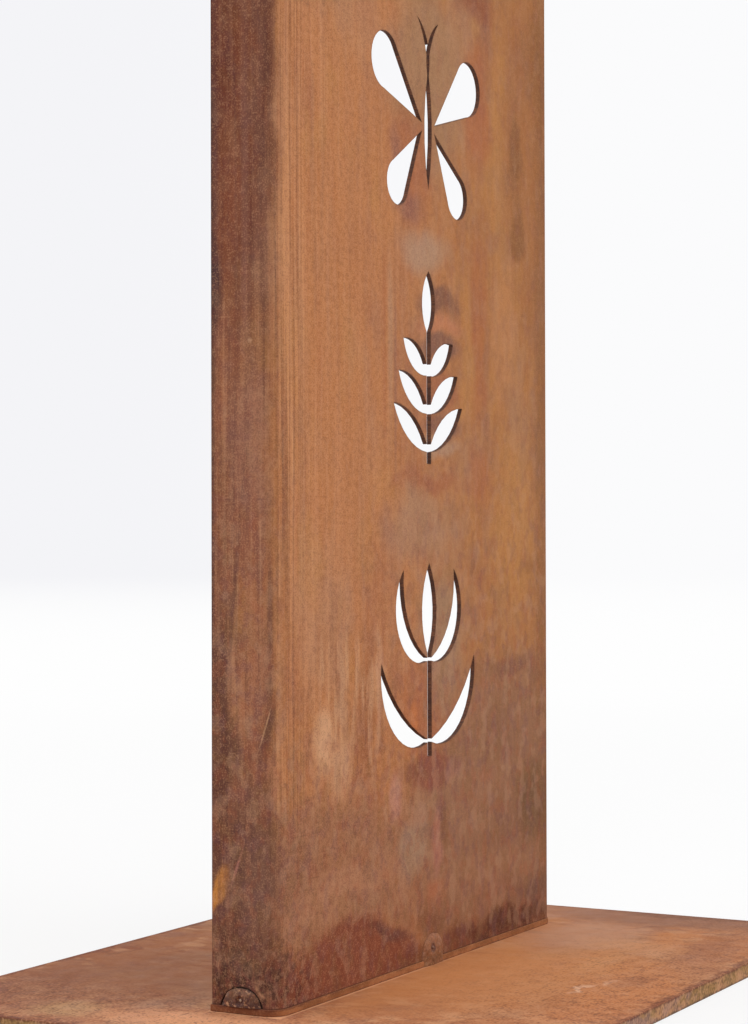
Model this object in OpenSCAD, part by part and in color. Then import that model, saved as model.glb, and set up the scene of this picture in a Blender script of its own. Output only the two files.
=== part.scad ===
// Garden welcome sign: a tall folded panel of weathering steel, cut through with a column
// of ornaments, which stands on a thin foot plate and a flat base plate.
// The origin is the middle of the base plate's underside. +Z is up and the front faces -Y.

/* [Panel] */
// Height of the whole sign, from the ground to the panel's top edge
sign_h = 1000; // [880:5:1200]
// Width of the panel across its flanges
panel_w = 190; // [165:1:240]
// Depth of the panel, from its front to the back edges of its flanges
panel_d = 22.5; // [21:0.5:40]
// Thickness of the panel's sheet
sheet_t = 1.5; // [1:0.1:2.5]
// Outside radius of the two folds
fold_r = 5.5; // [3.5:0.5:8]

/* [Ornaments] */
// Height of each ornament
motif_h = 62; // [50:1:75]
// Height of the lowest ornament above the base plate
motif_foot = 67; // [40:1:120]
// Gap above every first ornament of a pair
wide_gap = 32; // [24:1:45]
// Gap above every second ornament of a pair
close_gap = 19; // [12:1:24]
// Least height of bare panel above the top ornament
bare_top = 60; // [30:1:120]
// Width of the widest leaves and petals
leaf_w = 10; // [6:0.5:12]
// Width of the stems
stem_w = 2.8; // [1.5:0.1:4]
// Width of the tulip
tulip_w = 65; // [50:1:90]
// Width of the sprig
sprig_w = 48; // [36:1:70]
// Width of the butterfly
butterfly_w = 76; // [60:1:100]
// Width of the heart
heart_w = 66; // [50:1:80]
// Width of the blossom
blossom_w = 62; // [50:1:90]

/* [Foot plate] */
// Thickness of the foot plate
foot_t = 2; // [1.5:0.5:5]
// How far the foot plate stands out past the panel's sheet
foot_lip = 0.4; // [0.2:0.1:2]

/* [Base plate] */
// Width of the base plate
base_w = 260; // [200:1:400]
// Depth of the base plate
base_d = 200; // [120:1:300]
// Thickness of the base plate
base_t = 5; // [4:0.5:10]

/* [Welds] */
// Radius of the tack welds seen from outside
weld_r = 7.8; // [6:0.1:9]
// How far a weld's middle stands out from the sheet
weld_rise = 1.2; // [0.8:0.1:2]
// Height of the side welds above the foot plate
side_weld_h = 6.4; // [5:0.1:8]
// Height of the front weld above the foot plate
front_weld_h = 8.4; // [6:0.1:11]
// Place of the front weld, to the right of the panel's middle
front_weld_x = 1.5; // [-20:0.5:20]
// Place of the side welds, behind the panel's middle
side_weld_y = 1.2; // [0:0.1:2]
// Radius of the crater in each weld
crater_r = 1.6; // [1:0.1:2.5]

/* [Fasteners] */
// Thread diameter of the base screws
screw_d = 6; // [5:1:6]
// Distance between the two base screws
screw_spacing = 120; // [80:1:140]
// Length of thread left above each nut
screw_end = 1.4; // [0.5:0.1:3]
// Clearance round the thread in the plates and the washer
screw_gap = 0.2; // [0.1:0.05:0.4]
// Clearance between the thread and the nut
thread_gap = 0.03; // [0.02:0.01:0.1]
// Depth of the screw heads below the base plate's underside
head_sink = 0.2; // [0.1:0.1:0.5]

/* [Hidden] */
$fn = 64;

// Heights of the faces that the pieces stand on
foot_top = base_t + foot_t;
panel_h = sign_h - foot_top;

// Sizes of a standard screw, washer and nut, all from the thread's diameter
head_d = 2 * screw_d;
head_h = (head_d - screw_d) / 2;
socket_across = 2 / 3 * screw_d;
socket_depth = 0.45 * screw_d;
washer_d = 2 * screw_d;
washer_t = 1.6;
nut_across = 5 / 3 * screw_d;
nut_h = 5 / 6 * screw_d;
nut_chamfer = 0.6;
washer_top = foot_top + washer_t;
nut_top = washer_top + nut_h;
screw_top = nut_top + screw_end;
screw_tip = 0.6;

// Reach of a cut past the faces that it goes through
cut = 1;

// Weld details: rim of weld metal on the sheet, depth of the crater, height of the bead in it
weld_rim = 0.5;
crater_depth = 0.7;
crater_bead_r = 0.55;

// The ornaments from the bottom up, repeated as the panel's height allows
MOTIFS = ["tulip", "sprig", "butterfly", "heart", "blossom"];
MOST_MOTIFS = 20;

// Height of an ornament's lower end above the base plate
function motif_z(i) = motif_foot + i * motif_h + ceil(i / 2) * wide_gap + floor(i / 2) * close_gap;

motif_count = len([for (i = [0 : MOST_MOTIFS - 1])
                   if (motif_z(i) + motif_h + bare_top <= sign_h - base_t) i]);

// Radius of a circle whose arc rises by rise over a chord
function arc_r(chord, rise) = (chord * chord / 4 + rise * rise) / (2 * rise);

// Pointed leaf of two equal arcs, standing on the origin
module leaf(len, width) {
    r = arc_r(len, width / 2);
    intersection() {
        translate([r - width / 2, len / 2]) circle(r = r, $fn = 128);
        translate([width / 2 - r, len / 2]) circle(r = r, $fn = 128);
    }
}

// Curved blade between two points, bowed out to the right of the way from one to the other
module blade(from, to, bow, width) {
    way = to - from;
    chord = norm(way);
    outer_r = arc_r(chord, bow + width);
    inner_r = arc_r(chord, bow);
    translate(from) rotate(atan2(way.y, way.x) - 90) difference() {
        translate([bow + width - outer_r, chord / 2]) circle(r = outer_r, $fn = 128);
        translate([bow - inner_r, chord / 2]) circle(r = inner_r, $fn = 256);
    }
}

// The shape and its mirror image
module both_sides() {
    children();
    mirror([1, 0]) children();
}

// Stem from one height to another on the middle line
module stem(z0, z1) {
    translate([-stem_w / 2, z0]) square([stem_w, z1 - z0]);
}

// Tulip: a cup of three petals on a stem with two long leaves
module tulip() {
    cup_z = 0.5 * motif_h;
    leaf_z = 5;
    stem(0, cup_z + stem_w);
    translate([0, cup_z]) leaf(motif_h - cup_z, leaf_w);
    both_sides() {
        blade([0, cup_z], [0.27 * tulip_w, motif_h - 2], 6, 0.75 * leaf_w);
        blade([0, leaf_z], [tulip_w / 2, 0.5 * motif_h], 4, 0.8 * leaf_w);
    }
}

// Sprig: a stem with three pairs of leaves and a bud
module sprig() {
    lean = 58;
    bud_z = 0.66 * motif_h;
    reach = sprig_w / 2 / sin(lean);
    stem(0, bud_z + stem_w);
    translate([0, bud_z]) leaf(motif_h - bud_z, 0.9 * leaf_w);
    for (pair = [0 : 2])
        both_sides()
            translate([0, (0.06 + 0.2 * pair) * motif_h])
                rotate(-lean) leaf(reach * (1 - 0.14 * pair), 0.8 * leaf_w);
}

// Drop: a round end at the top that runs down to a point at the origin
module drop(len, width) {
    r = width / 2;
    middle = len - r;
    flank = 0.99 * r * sqrt(1 - pow(r / middle, 2));
    flank_z = middle - r * r / middle;
    translate([0, middle]) circle(r = r);
    polygon([[0, 0], [flank, flank_z], [-flank, flank_z]]);
}

// Butterfly: two pairs of wings beside a slim body, with two feelers
module butterfly() {
    wing_w = 1.8 * leaf_w;
    body_foot = 0.12 * motif_h;
    body_top = 0.74 * motif_h;
    root = [1.6 * stem_w, 0.46 * motif_h];
    wing_end = [(butterfly_w - wing_w) / 2, 0.86 * motif_h - wing_w / 2];
    hind_w = 0.8 * wing_w;
    hind_end = [0.72 * wing_end.x, hind_w / 2];
    translate([0, body_foot]) leaf(body_top - body_foot, 1.8 * stem_w);
    both_sides() {
        wing(root, wing_end, wing_w);
        wing(root - [0, stem_w], hind_end, hind_w);
        blade([0.25 * wing_end.x, motif_h], [0, body_top - stem_w], 2, 0.7 * stem_w);
    }
}

// Drop with its point at one place and the middle of its round end at another
module wing(from, to, width) {
    way = to - from;
    translate(from) rotate(atan2(way.y, way.x) - 90) drop(norm(way) + width / 2, width);
}

// Solid heart of a given width, standing on its point
module heart_shape(width) {
    side = width / (1 + 1 / sqrt(2));
    rotate(45) square(side);
    both_sides() translate([side / sqrt(8), side * 3 / sqrt(8)]) circle(r = side / 2);
}

// Heart: an outline, broad at its shoulders, which two bridges hold together, with a small leaf inside
module heart() {
    inner_w = heart_w - 2 * leaf_w;
    tip_rise = 1.1 * leaf_w;
    bridge_w = stem_w;
    difference() {
        heart_shape(heart_w);
        translate([0, tip_rise]) heart_shape(inner_w);
        translate([-bridge_w / 2, -cut]) square([bridge_w, motif_h + 2 * cut]);
    }
    translate([0, 1.9 * leaf_w]) leaf(2.2 * leaf_w, leaf_w);
}

// Blossom: four petals on the diagonals, four seeds between them and one in the middle
module blossom() {
    heart_r = 1.3 * stem_w;
    seed_r = stem_w;
    start = heart_r + stem_w;
    diagonal = norm([blossom_w, motif_h]) / 2;
    lean = atan2(blossom_w, motif_h);
    translate([0, motif_h / 2]) {
        circle(r = heart_r);
        for (up = [0, 1]) mirror([0, up]) both_sides()
            rotate(-lean) translate([0, start]) leaf(diagonal - start, leaf_w);
        both_sides() translate([blossom_w / 3, 0]) circle(r = seed_r);
        for (up = [-1, 1]) translate([0, up * motif_h / 3]) circle(r = seed_r);
    }
}

// One ornament by its name
module motif(name) {
    if (name == "tulip") tulip();
    if (name == "sprig") sprig();
    if (name == "butterfly") butterfly();
    if (name == "heart") heart();
    if (name == "blossom") blossom();
}

// Rectangle seen from above, centred, with its two front corners rounded
module rounded_front(width, depth, r) {
    difference() {
        square([width, depth], center = true);
        for (side = [-1, 1]) difference() {
            translate([side * width / 2, -depth / 2]) square(2 * r, center = true);
            translate([side * (width / 2 - r), r - depth / 2]) circle(r = r);
        }
    }
}

// Turn a shape drawn about the Z axis so that its Z axis points out of a face of the panel
module on_front() {
    translate([front_weld_x, -panel_d / 2, 0]) rotate([90, 0, 0]) children();
}

module on_side(side) {
    translate([side * panel_w / 2, side_weld_y, 0]) rotate([90, 0, side * 90]) children();
}

// Arch-shaped notch in the foot of the sheet, for a weld whose top is h above the foot plate
module weld_notch(h) {
    translate([0, foot_top + h - weld_r, -sheet_t - cut])
        cylinder(r = weld_r - weld_rim, h = sheet_t + 2 * cut);
}

// Tack weld: a plug in the notch under a low dome with a crater, cut off level with low_z
module tack_weld(h, low_z) {
    dome_r = arc_r(2 * weld_r, weld_rise);
    difference() {
        translate([0, foot_top + h - weld_r, 0]) {
            translate([0, 0, -sheet_t]) cylinder(r = weld_r - weld_rim, h = sheet_t);
            intersection() {
                translate([0, 0, weld_rise - dome_r]) sphere(r = dome_r, $fn = 96);
                cylinder(r = weld_r + cut, h = weld_rise + cut);
            }
        }
        translate([-2 * weld_r, low_z - 4 * weld_r, -2 * weld_r])
            cube([4 * weld_r, 4 * weld_r, 4 * weld_r]);
        translate([0, foot_top + h / 2, weld_rise - crater_depth]) difference() {
            cylinder(r1 = crater_r / 2, r2 = crater_r, h = 2 * crater_depth);
            sphere(r = crater_bead_r);
        }
    }
}

// Sign panel: the folded sheet with its ornaments and the three notches for the welds
module sign_panel() {
    color("#9a5a38") difference() {
        translate([0, 0, foot_top]) linear_extrude(panel_h) difference() {
            rounded_front(panel_w, panel_d, fold_r);
            translate([0, sheet_t]) rounded_front(panel_w - 2 * sheet_t, panel_d, fold_r - sheet_t);
        }
        for (i = [0 : motif_count - 1])
            translate([0, sheet_t + cut - panel_d / 2, base_t + motif_z(i)]) rotate([90, 0, 0])
                linear_extrude(sheet_t + 2 * cut) motif(MOTIFS[i % len(MOTIFS)]);
        on_front() weld_notch(front_weld_h);
        on_side(-1) weld_notch(side_weld_h);
        on_side(1) weld_notch(side_weld_h);
    }
}

// Solid block of the foot plate, before its holes
module foot_block() {
    translate([0, 0, base_t]) linear_extrude(foot_t)
        rounded_front(panel_w + 2 * foot_lip, panel_d + 2 * foot_lip, fold_r + foot_lip);
}

// The two places of the base screws
module at_screws() {
    for (side = [-1, 1]) translate([side * screw_spacing / 2, 0, 0]) children();
}

// Foot plate: carries the panel and takes the screws
module foot_plate() {
    color("#8a5638") difference() {
        foot_block();
        at_screws() translate([0, 0, base_t - cut])
            cylinder(d = screw_d + 2 * screw_gap, h = foot_t + 2 * cut);
    }
}

// Base plate: flat, with two countersunk holes from below
module base_plate() {
    color("#b07048") difference() {
        translate([-base_w / 2, -base_d / 2, 0]) cube([base_w, base_d, base_t]);
        at_screws() {
            translate([0, 0, -cut]) cylinder(d = screw_d + 2 * screw_gap, h = base_t + 2 * cut);
            translate([0, 0, -cut]) cylinder(d = head_d, h = head_sink + cut);
            translate([0, 0, head_sink]) cylinder(d1 = head_d, d2 = screw_d, h = head_h);
        }
    }
}

module weld_left() {
    color("#6b5a4a") on_side(-1) tack_weld(side_weld_h, foot_top);
}

// The front weld runs down over the foot plate's edge to the base plate
module weld_front() {
    color("#7a6248") difference() {
        on_front() tack_weld(front_weld_h, base_t);
        foot_block();
    }
}

module weld_right() {
    color("#6b5a4a") on_side(1) tack_weld(side_weld_h, foot_top);
}

// Countersunk screws with a hexagon socket, heads down
module base_screws() {
    color("#77716a") at_screws() difference() {
        union() {
            translate([0, 0, head_sink]) cylinder(d1 = head_d, d2 = screw_d, h = head_h);
            translate([0, 0, head_sink]) cylinder(d = screw_d, h = screw_top - screw_tip - head_sink);
            translate([0, 0, screw_top - screw_tip])
                cylinder(d1 = screw_d, d2 = screw_d - 2 * screw_tip, h = screw_tip);
        }
        translate([0, 0, head_sink - cut])
            cylinder(d = socket_across / cos(30), h = socket_depth + cut, $fn = 6);
    }
}

module base_washers() {
    color("#8b857c") at_screws() translate([0, 0, foot_top]) difference() {
        cylinder(d = washer_d, h = washer_t);
        translate([0, 0, -cut]) cylinder(d = screw_d + 2 * screw_gap, h = washer_t + 2 * cut);
    }
}

// Hexagon nuts, chamfered on top
module base_nuts() {
    color("#8b857c") at_screws() translate([0, 0, washer_top]) difference() {
        intersection() {
            cylinder(d = nut_across / cos(30), h = nut_h, $fn = 6);
            union() {
                cylinder(d = 2 * nut_across, h = nut_h - nut_chamfer);
                translate([0, 0, nut_h - nut_chamfer])
                    cylinder(d1 = nut_across / cos(30), d2 = nut_across - nut_chamfer, h = nut_chamfer);
            }
        }
        translate([0, 0, -cut]) cylinder(d = screw_d + 2 * thread_gap, h = nut_h + 2 * cut);
    }
}

sign_panel();
foot_plate();
weld_left();
weld_front();
weld_right();
base_plate();
base_screws();
base_washers();
base_nuts();
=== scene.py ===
"""Garden welcome sign of weathering steel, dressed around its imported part.

The panel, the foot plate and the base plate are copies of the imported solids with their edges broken. The tack
welds and the fasteners are modelled afresh in the same places. Every finish is built from nodes.
"""

import enum
import functools
import logging
import math
from dataclasses import dataclass
from typing import Callable

import bpy
from mathutils import Matrix, Vector

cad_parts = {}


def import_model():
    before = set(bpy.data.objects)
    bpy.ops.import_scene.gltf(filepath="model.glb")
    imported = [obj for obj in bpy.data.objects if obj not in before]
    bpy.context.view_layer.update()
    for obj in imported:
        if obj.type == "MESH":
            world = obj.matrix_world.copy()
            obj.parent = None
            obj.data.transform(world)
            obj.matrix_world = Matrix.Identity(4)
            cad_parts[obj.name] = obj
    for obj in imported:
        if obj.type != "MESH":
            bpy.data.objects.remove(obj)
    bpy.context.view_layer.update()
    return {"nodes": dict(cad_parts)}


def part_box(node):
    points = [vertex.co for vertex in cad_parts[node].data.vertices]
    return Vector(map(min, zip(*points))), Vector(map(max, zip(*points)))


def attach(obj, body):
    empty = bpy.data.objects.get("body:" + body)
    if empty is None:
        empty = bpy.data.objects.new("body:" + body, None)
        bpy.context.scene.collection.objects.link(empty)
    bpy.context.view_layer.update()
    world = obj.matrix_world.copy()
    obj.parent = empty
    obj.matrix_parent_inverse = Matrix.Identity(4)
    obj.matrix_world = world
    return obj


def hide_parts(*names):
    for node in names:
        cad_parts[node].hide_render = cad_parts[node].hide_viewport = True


MM = 0.001
BODY = "root"
LOG = logging.getLogger("garden_sign")

Colour = tuple[float, float, float, float]
Feed = bpy.types.NodeSocket | float | tuple


def paint(red: int, green: int, blue: int) -> Colour:
    """Turn a colour as the eye sees it into the linear values that a shader takes.

    Args:
        red, green, blue: The colour's parts from 0 to 255.

    Returns:
        The linear colour with full alpha.
    """
    parts = []
    for part in (red, green, blue):
        share = part / 255
        parts.append(share / 12.92 if share <= 0.04045 else ((share + 0.055) / 1.055) ** 2.4)
    return (*parts, 1.0)


class Shop:
    """Small tools that every piece is made with.

    Corners nearer than merge_reach are one corner, faces that turn by less than flat_angle are one face,
    and edges sharper than sharp_angle get rounded. A turned piece has round_steps faces round its axis.
    """

    merge_reach = 0.001 * MM
    flat_angle = math.radians(0.5)
    sharp_angle = math.radians(35)
    round_steps = 48

    @staticmethod
    def deselect() -> None:
        """Leave edit mode and deselect every object."""
        if bpy.context.object is not None and bpy.context.object.mode != "OBJECT":
            bpy.ops.object.mode_set(mode="OBJECT")
        bpy.ops.object.select_all(action="DESELECT")

    @staticmethod
    def activate(piece: bpy.types.Object) -> None:
        """Make one object the only selected and the active one.

        Args:
            piece: The object to work on next.
        """
        Shop.deselect()
        piece.select_set(True)
        bpy.context.view_layer.objects.active = piece

    @staticmethod
    def named(name: str) -> bpy.types.Object:
        """Name the object that an operator has just added, and leave its origin at the world's.

        Args:
            name: The name for the object and its mesh.

        Returns:
            The active object.
        """
        piece = bpy.context.object
        piece.name = name
        piece.data.name = name
        bpy.ops.object.transform_apply(location=True, rotation=True, scale=True)
        return piece

    @staticmethod
    def copy_node(node: bpy.types.Object, name: str) -> bpy.types.Object:
        """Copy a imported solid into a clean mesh: corners merged and flat faces joined.

        Args:
            node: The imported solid.
            name: The name of the new piece.

        Returns:
            The new piece.
        """
        piece = bpy.data.objects.new(name, node.data.copy())
        piece.data.materials.clear()
        bpy.context.scene.collection.objects.link(piece)
        Shop.activate(piece)
        if piece.data.has_custom_normals:
            bpy.ops.mesh.customdata_custom_splitnormals_clear()
        bpy.ops.object.mode_set(mode="EDIT")
        bpy.ops.mesh.select_all(action="SELECT")
        bpy.ops.mesh.remove_doubles(threshold=Shop.merge_reach)
        bpy.ops.mesh.dissolve_limited(angle_limit=Shop.flat_angle)
        bpy.ops.object.mode_set(mode="OBJECT")
        return piece

    @staticmethod
    def copy(piece: bpy.types.Object, name: str) -> bpy.types.Object:
        """Copy a piece together with its mesh.

        Args:
            piece: The piece to copy.
            name: The copy's name.

        Returns:
            The copy.
        """
        Shop.activate(piece)
        bpy.ops.object.duplicate(linked=False)
        return Shop.named(name)

    @staticmethod
    def modify(piece: bpy.types.Object, kind: str, **settings: object) -> None:
        """Add a modifier and apply it.

        Args:
            piece: The piece to change.
            kind: Blender's name for the modifier.
            settings: The modifier's values.
        """
        Shop.activate(piece)
        modifier = piece.modifiers.new(kind.title(), kind)
        for key, value in settings.items():
            setattr(modifier, key, value)
        bpy.ops.object.modifier_apply(modifier=modifier.name)

    @staticmethod
    def break_edges(piece: bpy.types.Object, width: float) -> None:
        """Round the sharp edges a little and shade the piece smooth up to them.

        Args:
            piece: The piece to finish.
            width: The width of the rounding, in metres.
        """
        Shop.modify(
            piece,
            "BEVEL",
            width=width,
            segments=2,
            limit_method="ANGLE",
            angle_limit=Shop.sharp_angle,
            use_clamp_overlap=False,
            loop_slide=False,
        )
        Shop.smooth(piece)

    @staticmethod
    def pick_edges(piece: bpy.types.Object, wanted: Callable[[Vector], bool]) -> None:
        """Go into edit mode with only some edges selected.

        Args:
            piece: The piece to work on.
            wanted: The test that both ends of an edge must pass.
        """
        Shop.activate(piece)
        bpy.ops.object.mode_set(mode="EDIT")
        bpy.ops.mesh.select_mode(type="EDGE")
        bpy.ops.mesh.select_all(action="DESELECT")
        bpy.ops.object.mode_set(mode="OBJECT")
        for edge in piece.data.edges:
            edge.select = all(wanted(piece.data.vertices[index].co) for index in edge.vertices)
        bpy.ops.object.mode_set(mode="EDIT")

    @staticmethod
    def smooth(piece: bpy.types.Object, angle: float = 50.0) -> None:
        """Shade smooth, with the flat faces kept flat.

        Args:
            piece: The piece to shade.
            angle: The angle in degrees above which an edge stays sharp.
        """
        Shop.activate(piece)
        bpy.ops.object.shade_smooth_by_angle(angle=math.radians(angle))
        Shop.modify(piece, "WEIGHTED_NORMAL", keep_sharp=True, weight=100)

    @staticmethod
    def combine(piece: bpy.types.Object, tool: bpy.types.Object, operation: str) -> None:
        """Join, cut or intersect a piece with another, which is used up.

        Args:
            piece: The piece that stays.
            tool: The piece that is used up.
            operation: UNION, DIFFERENCE or INTERSECT.
        """
        Shop.modify(piece, "BOOLEAN", object=tool, operation=operation, solver="EXACT")
        bpy.data.objects.remove(tool)

    @staticmethod
    def turned(profile: list[tuple[float, float]], name: str) -> bpy.types.Object:
        """Turn a closed profile about the Z axis, as on a lathe.

        Args:
            profile: Points of radius and height in metres, from the axis at the foot to the axis at the top,
                or a closed ring that keeps clear of the axis.
            name: The name of the new piece.

        Returns:
            The new piece.
        """
        solid = profile[0][0] == 0
        outline = profile[1:-1] if solid else profile + profile[:1]
        radius, height = outline[0]
        Shop.deselect()
        bpy.ops.mesh.primitive_circle_add(vertices=Shop.round_steps, radius=radius, location=(0, 0, height))
        piece = Shop.named(name)
        bpy.ops.object.mode_set(mode="EDIT")
        bpy.ops.mesh.select_all(action="SELECT")
        if solid:
            bpy.ops.mesh.edge_face_add()
        for (radius, height), (next_radius, next_height) in zip(outline, outline[1:]):
            bpy.ops.mesh.extrude_edges_move(TRANSFORM_OT_translate={"value": (0, 0, next_height - height)})
            grow = next_radius / radius
            bpy.ops.transform.resize(value=(grow, grow, 1), center_override=(0, 0, 0))
        if solid:
            bpy.ops.mesh.edge_face_add()
        bpy.ops.mesh.select_all(action="SELECT")
        bpy.ops.mesh.remove_doubles(threshold=Shop.merge_reach)
        bpy.ops.mesh.normals_make_consistent(inside=False)
        bpy.ops.object.mode_set(mode="OBJECT")
        return piece

    @staticmethod
    def place(piece: bpy.types.Object, matrix: Matrix) -> None:
        """Move a piece's mesh into place and leave its object at the origin.

        Args:
            piece: The piece to place.
            matrix: The turn and the place.
        """
        Shop.activate(piece)
        piece.matrix_world = matrix
        bpy.ops.object.transform_apply(location=True, rotation=True, scale=True)

    @staticmethod
    def dress(piece: bpy.types.Object, *materials: bpy.types.Material) -> None:
        """Give a piece its materials, in place of any that it has.

        Args:
            piece: The piece to dress.
            materials: The materials, in the order of the faces' numbers.
        """
        piece.data.materials.clear()
        for material in materials:
            piece.data.materials.append(material)

    @staticmethod
    def hand_over(piece: bpy.types.Object, slot: str, *nodes: str) -> None:
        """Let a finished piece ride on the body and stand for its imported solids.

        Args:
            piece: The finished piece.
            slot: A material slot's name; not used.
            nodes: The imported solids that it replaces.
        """
        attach(piece, BODY)
        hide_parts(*nodes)
        piece.data.calc_loop_triangles()
        LOG.info("%s: %d triangles", piece.name, len(piece.data.loop_triangles))


class Recipe:
    """A node tree, built step by step. Lengths in it are in millimetres.

    A seed moves a noise by seed_step clouds along each axis, so that no two noises are alike. Painted
    shade at an edge goes by the cosine between the rounded normal and the true one, from the first of the two
    levels below to the second.
    """

    seed_step = (7.31, 3.17, 5.73)
    shade_from = 0.995
    shade_full = 0.80

    def __init__(self, owner: bpy.types.Material | bpy.types.World) -> None:
        """Start an empty node tree.

        Args:
            owner: The material or world that the tree belongs to.
        """
        self.owner = owner
        self.owner.use_nodes = True
        self.tree = self.owner.node_tree
        self.tree.nodes.clear()

    @classmethod
    def named(cls, name: str) -> "Recipe":
        """Start an empty material.

        Args:
            name: The material's name.

        Returns:
            The recipe for it.
        """
        return cls(bpy.data.materials.new(name))

    @functools.cached_property
    def place(self) -> bpy.types.NodeSocket:
        """The place on the piece, in millimetres from the origin."""
        return self.vector("SCALE", self.add("TexCoord").outputs["Object"], scale=1 / MM)

    def add(self, kind: str, **settings: object) -> bpy.types.Node:
        """Add a shader node.

        Args:
            kind: The node's type, without Blender's prefix.
            settings: The node's own values.

        Returns:
            The new node.
        """
        node = self.tree.nodes.new("ShaderNode" + kind)
        for key, value in settings.items():
            setattr(node, key, value)
        return node

    def feed(self, socket: bpy.types.NodeSocket, value: Feed) -> None:
        """Link a value to a socket, or write it there if it is plain.

        Args:
            socket: The socket that takes the value.
            value: Another node's output, or a number, colour or vector.
        """
        if isinstance(value, bpy.types.NodeSocket):
            self.tree.links.new(value, socket)
        else:
            socket.default_value = value

    def math(self, operation: str, *values: Feed) -> bpy.types.NodeSocket:
        """Work out one number from others.

        Args:
            operation: Blender's name for the sum.
            values: The numbers that go in.

        Returns:
            The result.
        """
        node = self.add("Math", operation=operation)
        for socket, value in zip(node.inputs, values):
            self.feed(socket, value)
        return node.outputs[0]

    def vector(self, operation: str, *values: Feed, scale: float | None = None) -> bpy.types.NodeSocket:
        """Work out one vector, or a length, from others.

        Args:
            operation: Blender's name for the sum.
            values: The vectors that go in.
            scale: The factor for SCALE.

        Returns:
            The result.
        """
        node = self.add("VectorMath", operation=operation)
        for socket, value in zip(node.inputs, values):
            self.feed(socket, value)
        if scale is not None:
            node.inputs["Scale"].default_value = scale
        return node.outputs["Value" if operation in ("LENGTH", "DISTANCE", "DOT_PRODUCT") else "Vector"]

    def parts(self, vector: bpy.types.NodeSocket) -> tuple[bpy.types.NodeSocket, ...]:
        """Split a vector.

        Args:
            vector: The vector.

        Returns:
            Its three parts.
        """
        node = self.add("SeparateXYZ")
        self.feed(node.inputs[0], vector)
        return tuple(node.outputs)

    def flat(self, across: bpy.types.NodeSocket, up: bpy.types.NodeSocket) -> bpy.types.NodeSocket:
        """Make flat coordinates of two numbers.

        Args:
            across, up: The two numbers.

        Returns:
            The coordinates, with 0 as their third part.
        """
        node = self.add("CombineXYZ")
        self.feed(node.inputs["X"], across)
        self.feed(node.inputs["Y"], up)
        return node.outputs[0]

    def noise(
        self,
        place: bpy.types.NodeSocket,
        size: tuple[float, float, float] | float,
        seed: float,
        detail: float = 2.0,
        rough: float = 0.5,
        flat: bool = False,
        colour: bool = False,
    ) -> bpy.types.NodeSocket:
        """Add cloudy noise.

        Args:
            place: The coordinates.
            size: The size of the clouds along each axis.
            seed: A number that tells this noise from the others.
            detail: The number of finer layers.
            rough: How strong the finer layers are.
            flat: Whether only the first two coordinates count.
            colour: Whether the result is three noises at once.

        Returns:
            The noise, about 0.5 on average.
        """
        sizes = size if isinstance(size, tuple) else (size, size, size)
        offset = [step * seed for step in self.seed_step]
        node = self.add("VectorMath", operation="MULTIPLY_ADD")
        self.feed(node.inputs[0], place)
        node.inputs[1].default_value = [1 / part for part in sizes]
        node.inputs[2].default_value = offset
        cloud = self.add("TexNoise", noise_dimensions="2D" if flat else "3D")
        self.feed(cloud.inputs["Vector"], node.outputs[0])
        cloud.inputs["Scale"].default_value = 1.0
        cloud.inputs["Detail"].default_value = detail
        cloud.inputs["Roughness"].default_value = rough
        return cloud.outputs["Color" if colour else "Fac"]

    def between(
        self, value: Feed, low: float, high: float, to_low: float = 0.0, to_high: float = 1.0
    ) -> bpy.types.NodeSocket:
        """Ease from one level to another while a value goes from low to high.

        Args:
            value: The value.
            low, high: Where the easing starts and ends.
            to_low, to_high: The result at either end.

        Returns:
            The eased level.
        """
        node = self.add("MapRange", interpolation_type="SMOOTHSTEP")
        swapped = low > high
        self.feed(node.inputs["Value"], value)
        node.inputs["From Min"].default_value = high if swapped else low
        node.inputs["From Max"].default_value = low if swapped else high
        node.inputs["To Min"].default_value = to_high if swapped else to_low
        node.inputs["To Max"].default_value = to_low if swapped else to_high
        return node.outputs[0]

    def mix(self, share: Feed, first: Feed, second: Feed) -> bpy.types.NodeSocket:
        """Mix two colours.

        Args:
            share: The share of the second.
            first: The colour at share 0.
            second: The colour at share 1.

        Returns:
            The mixed colour.
        """
        node = self.add("Mix", data_type="RGBA")
        colours = [socket for socket in node.inputs if socket.type == "RGBA"]
        self.feed(node.inputs[0], share)
        self.feed(colours[0], first)
        self.feed(colours[1], second)
        return next(socket for socket in node.outputs if socket.type == "RGBA")

    def edge_shade(self, reach: float) -> bpy.types.NodeSocket:
        """Find the places near an edge of the mesh, for painted shade along the edges.

        Args:
            reach: How far from the edge the wear goes, in millimetres.

        Returns:
            0 on the open face, rising towards 1 at an edge.
        """
        rounded = self.add("Bevel", samples=6)
        rounded.inputs["Radius"].default_value = reach * MM
        true = self.add("NewGeometry").outputs["Normal"]
        turn = self.vector("DOT_PRODUCT", rounded.outputs[0], true)
        return self.between(turn, self.shade_from, self.shade_full)

    def relief(self, height: Feed, depth: float) -> bpy.types.NodeSocket:
        """Turn a height into a bumpy normal.

        Args:
            height: The height from 0 to 1.
            depth: What a height of 1 stands for, in millimetres.

        Returns:
            The normal.
        """
        bump = self.add("Bump")
        bump.inputs["Strength"].default_value = 1.0
        bump.inputs["Distance"].default_value = depth * MM
        self.feed(bump.inputs["Height"], height)
        return bump.outputs[0]

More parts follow.
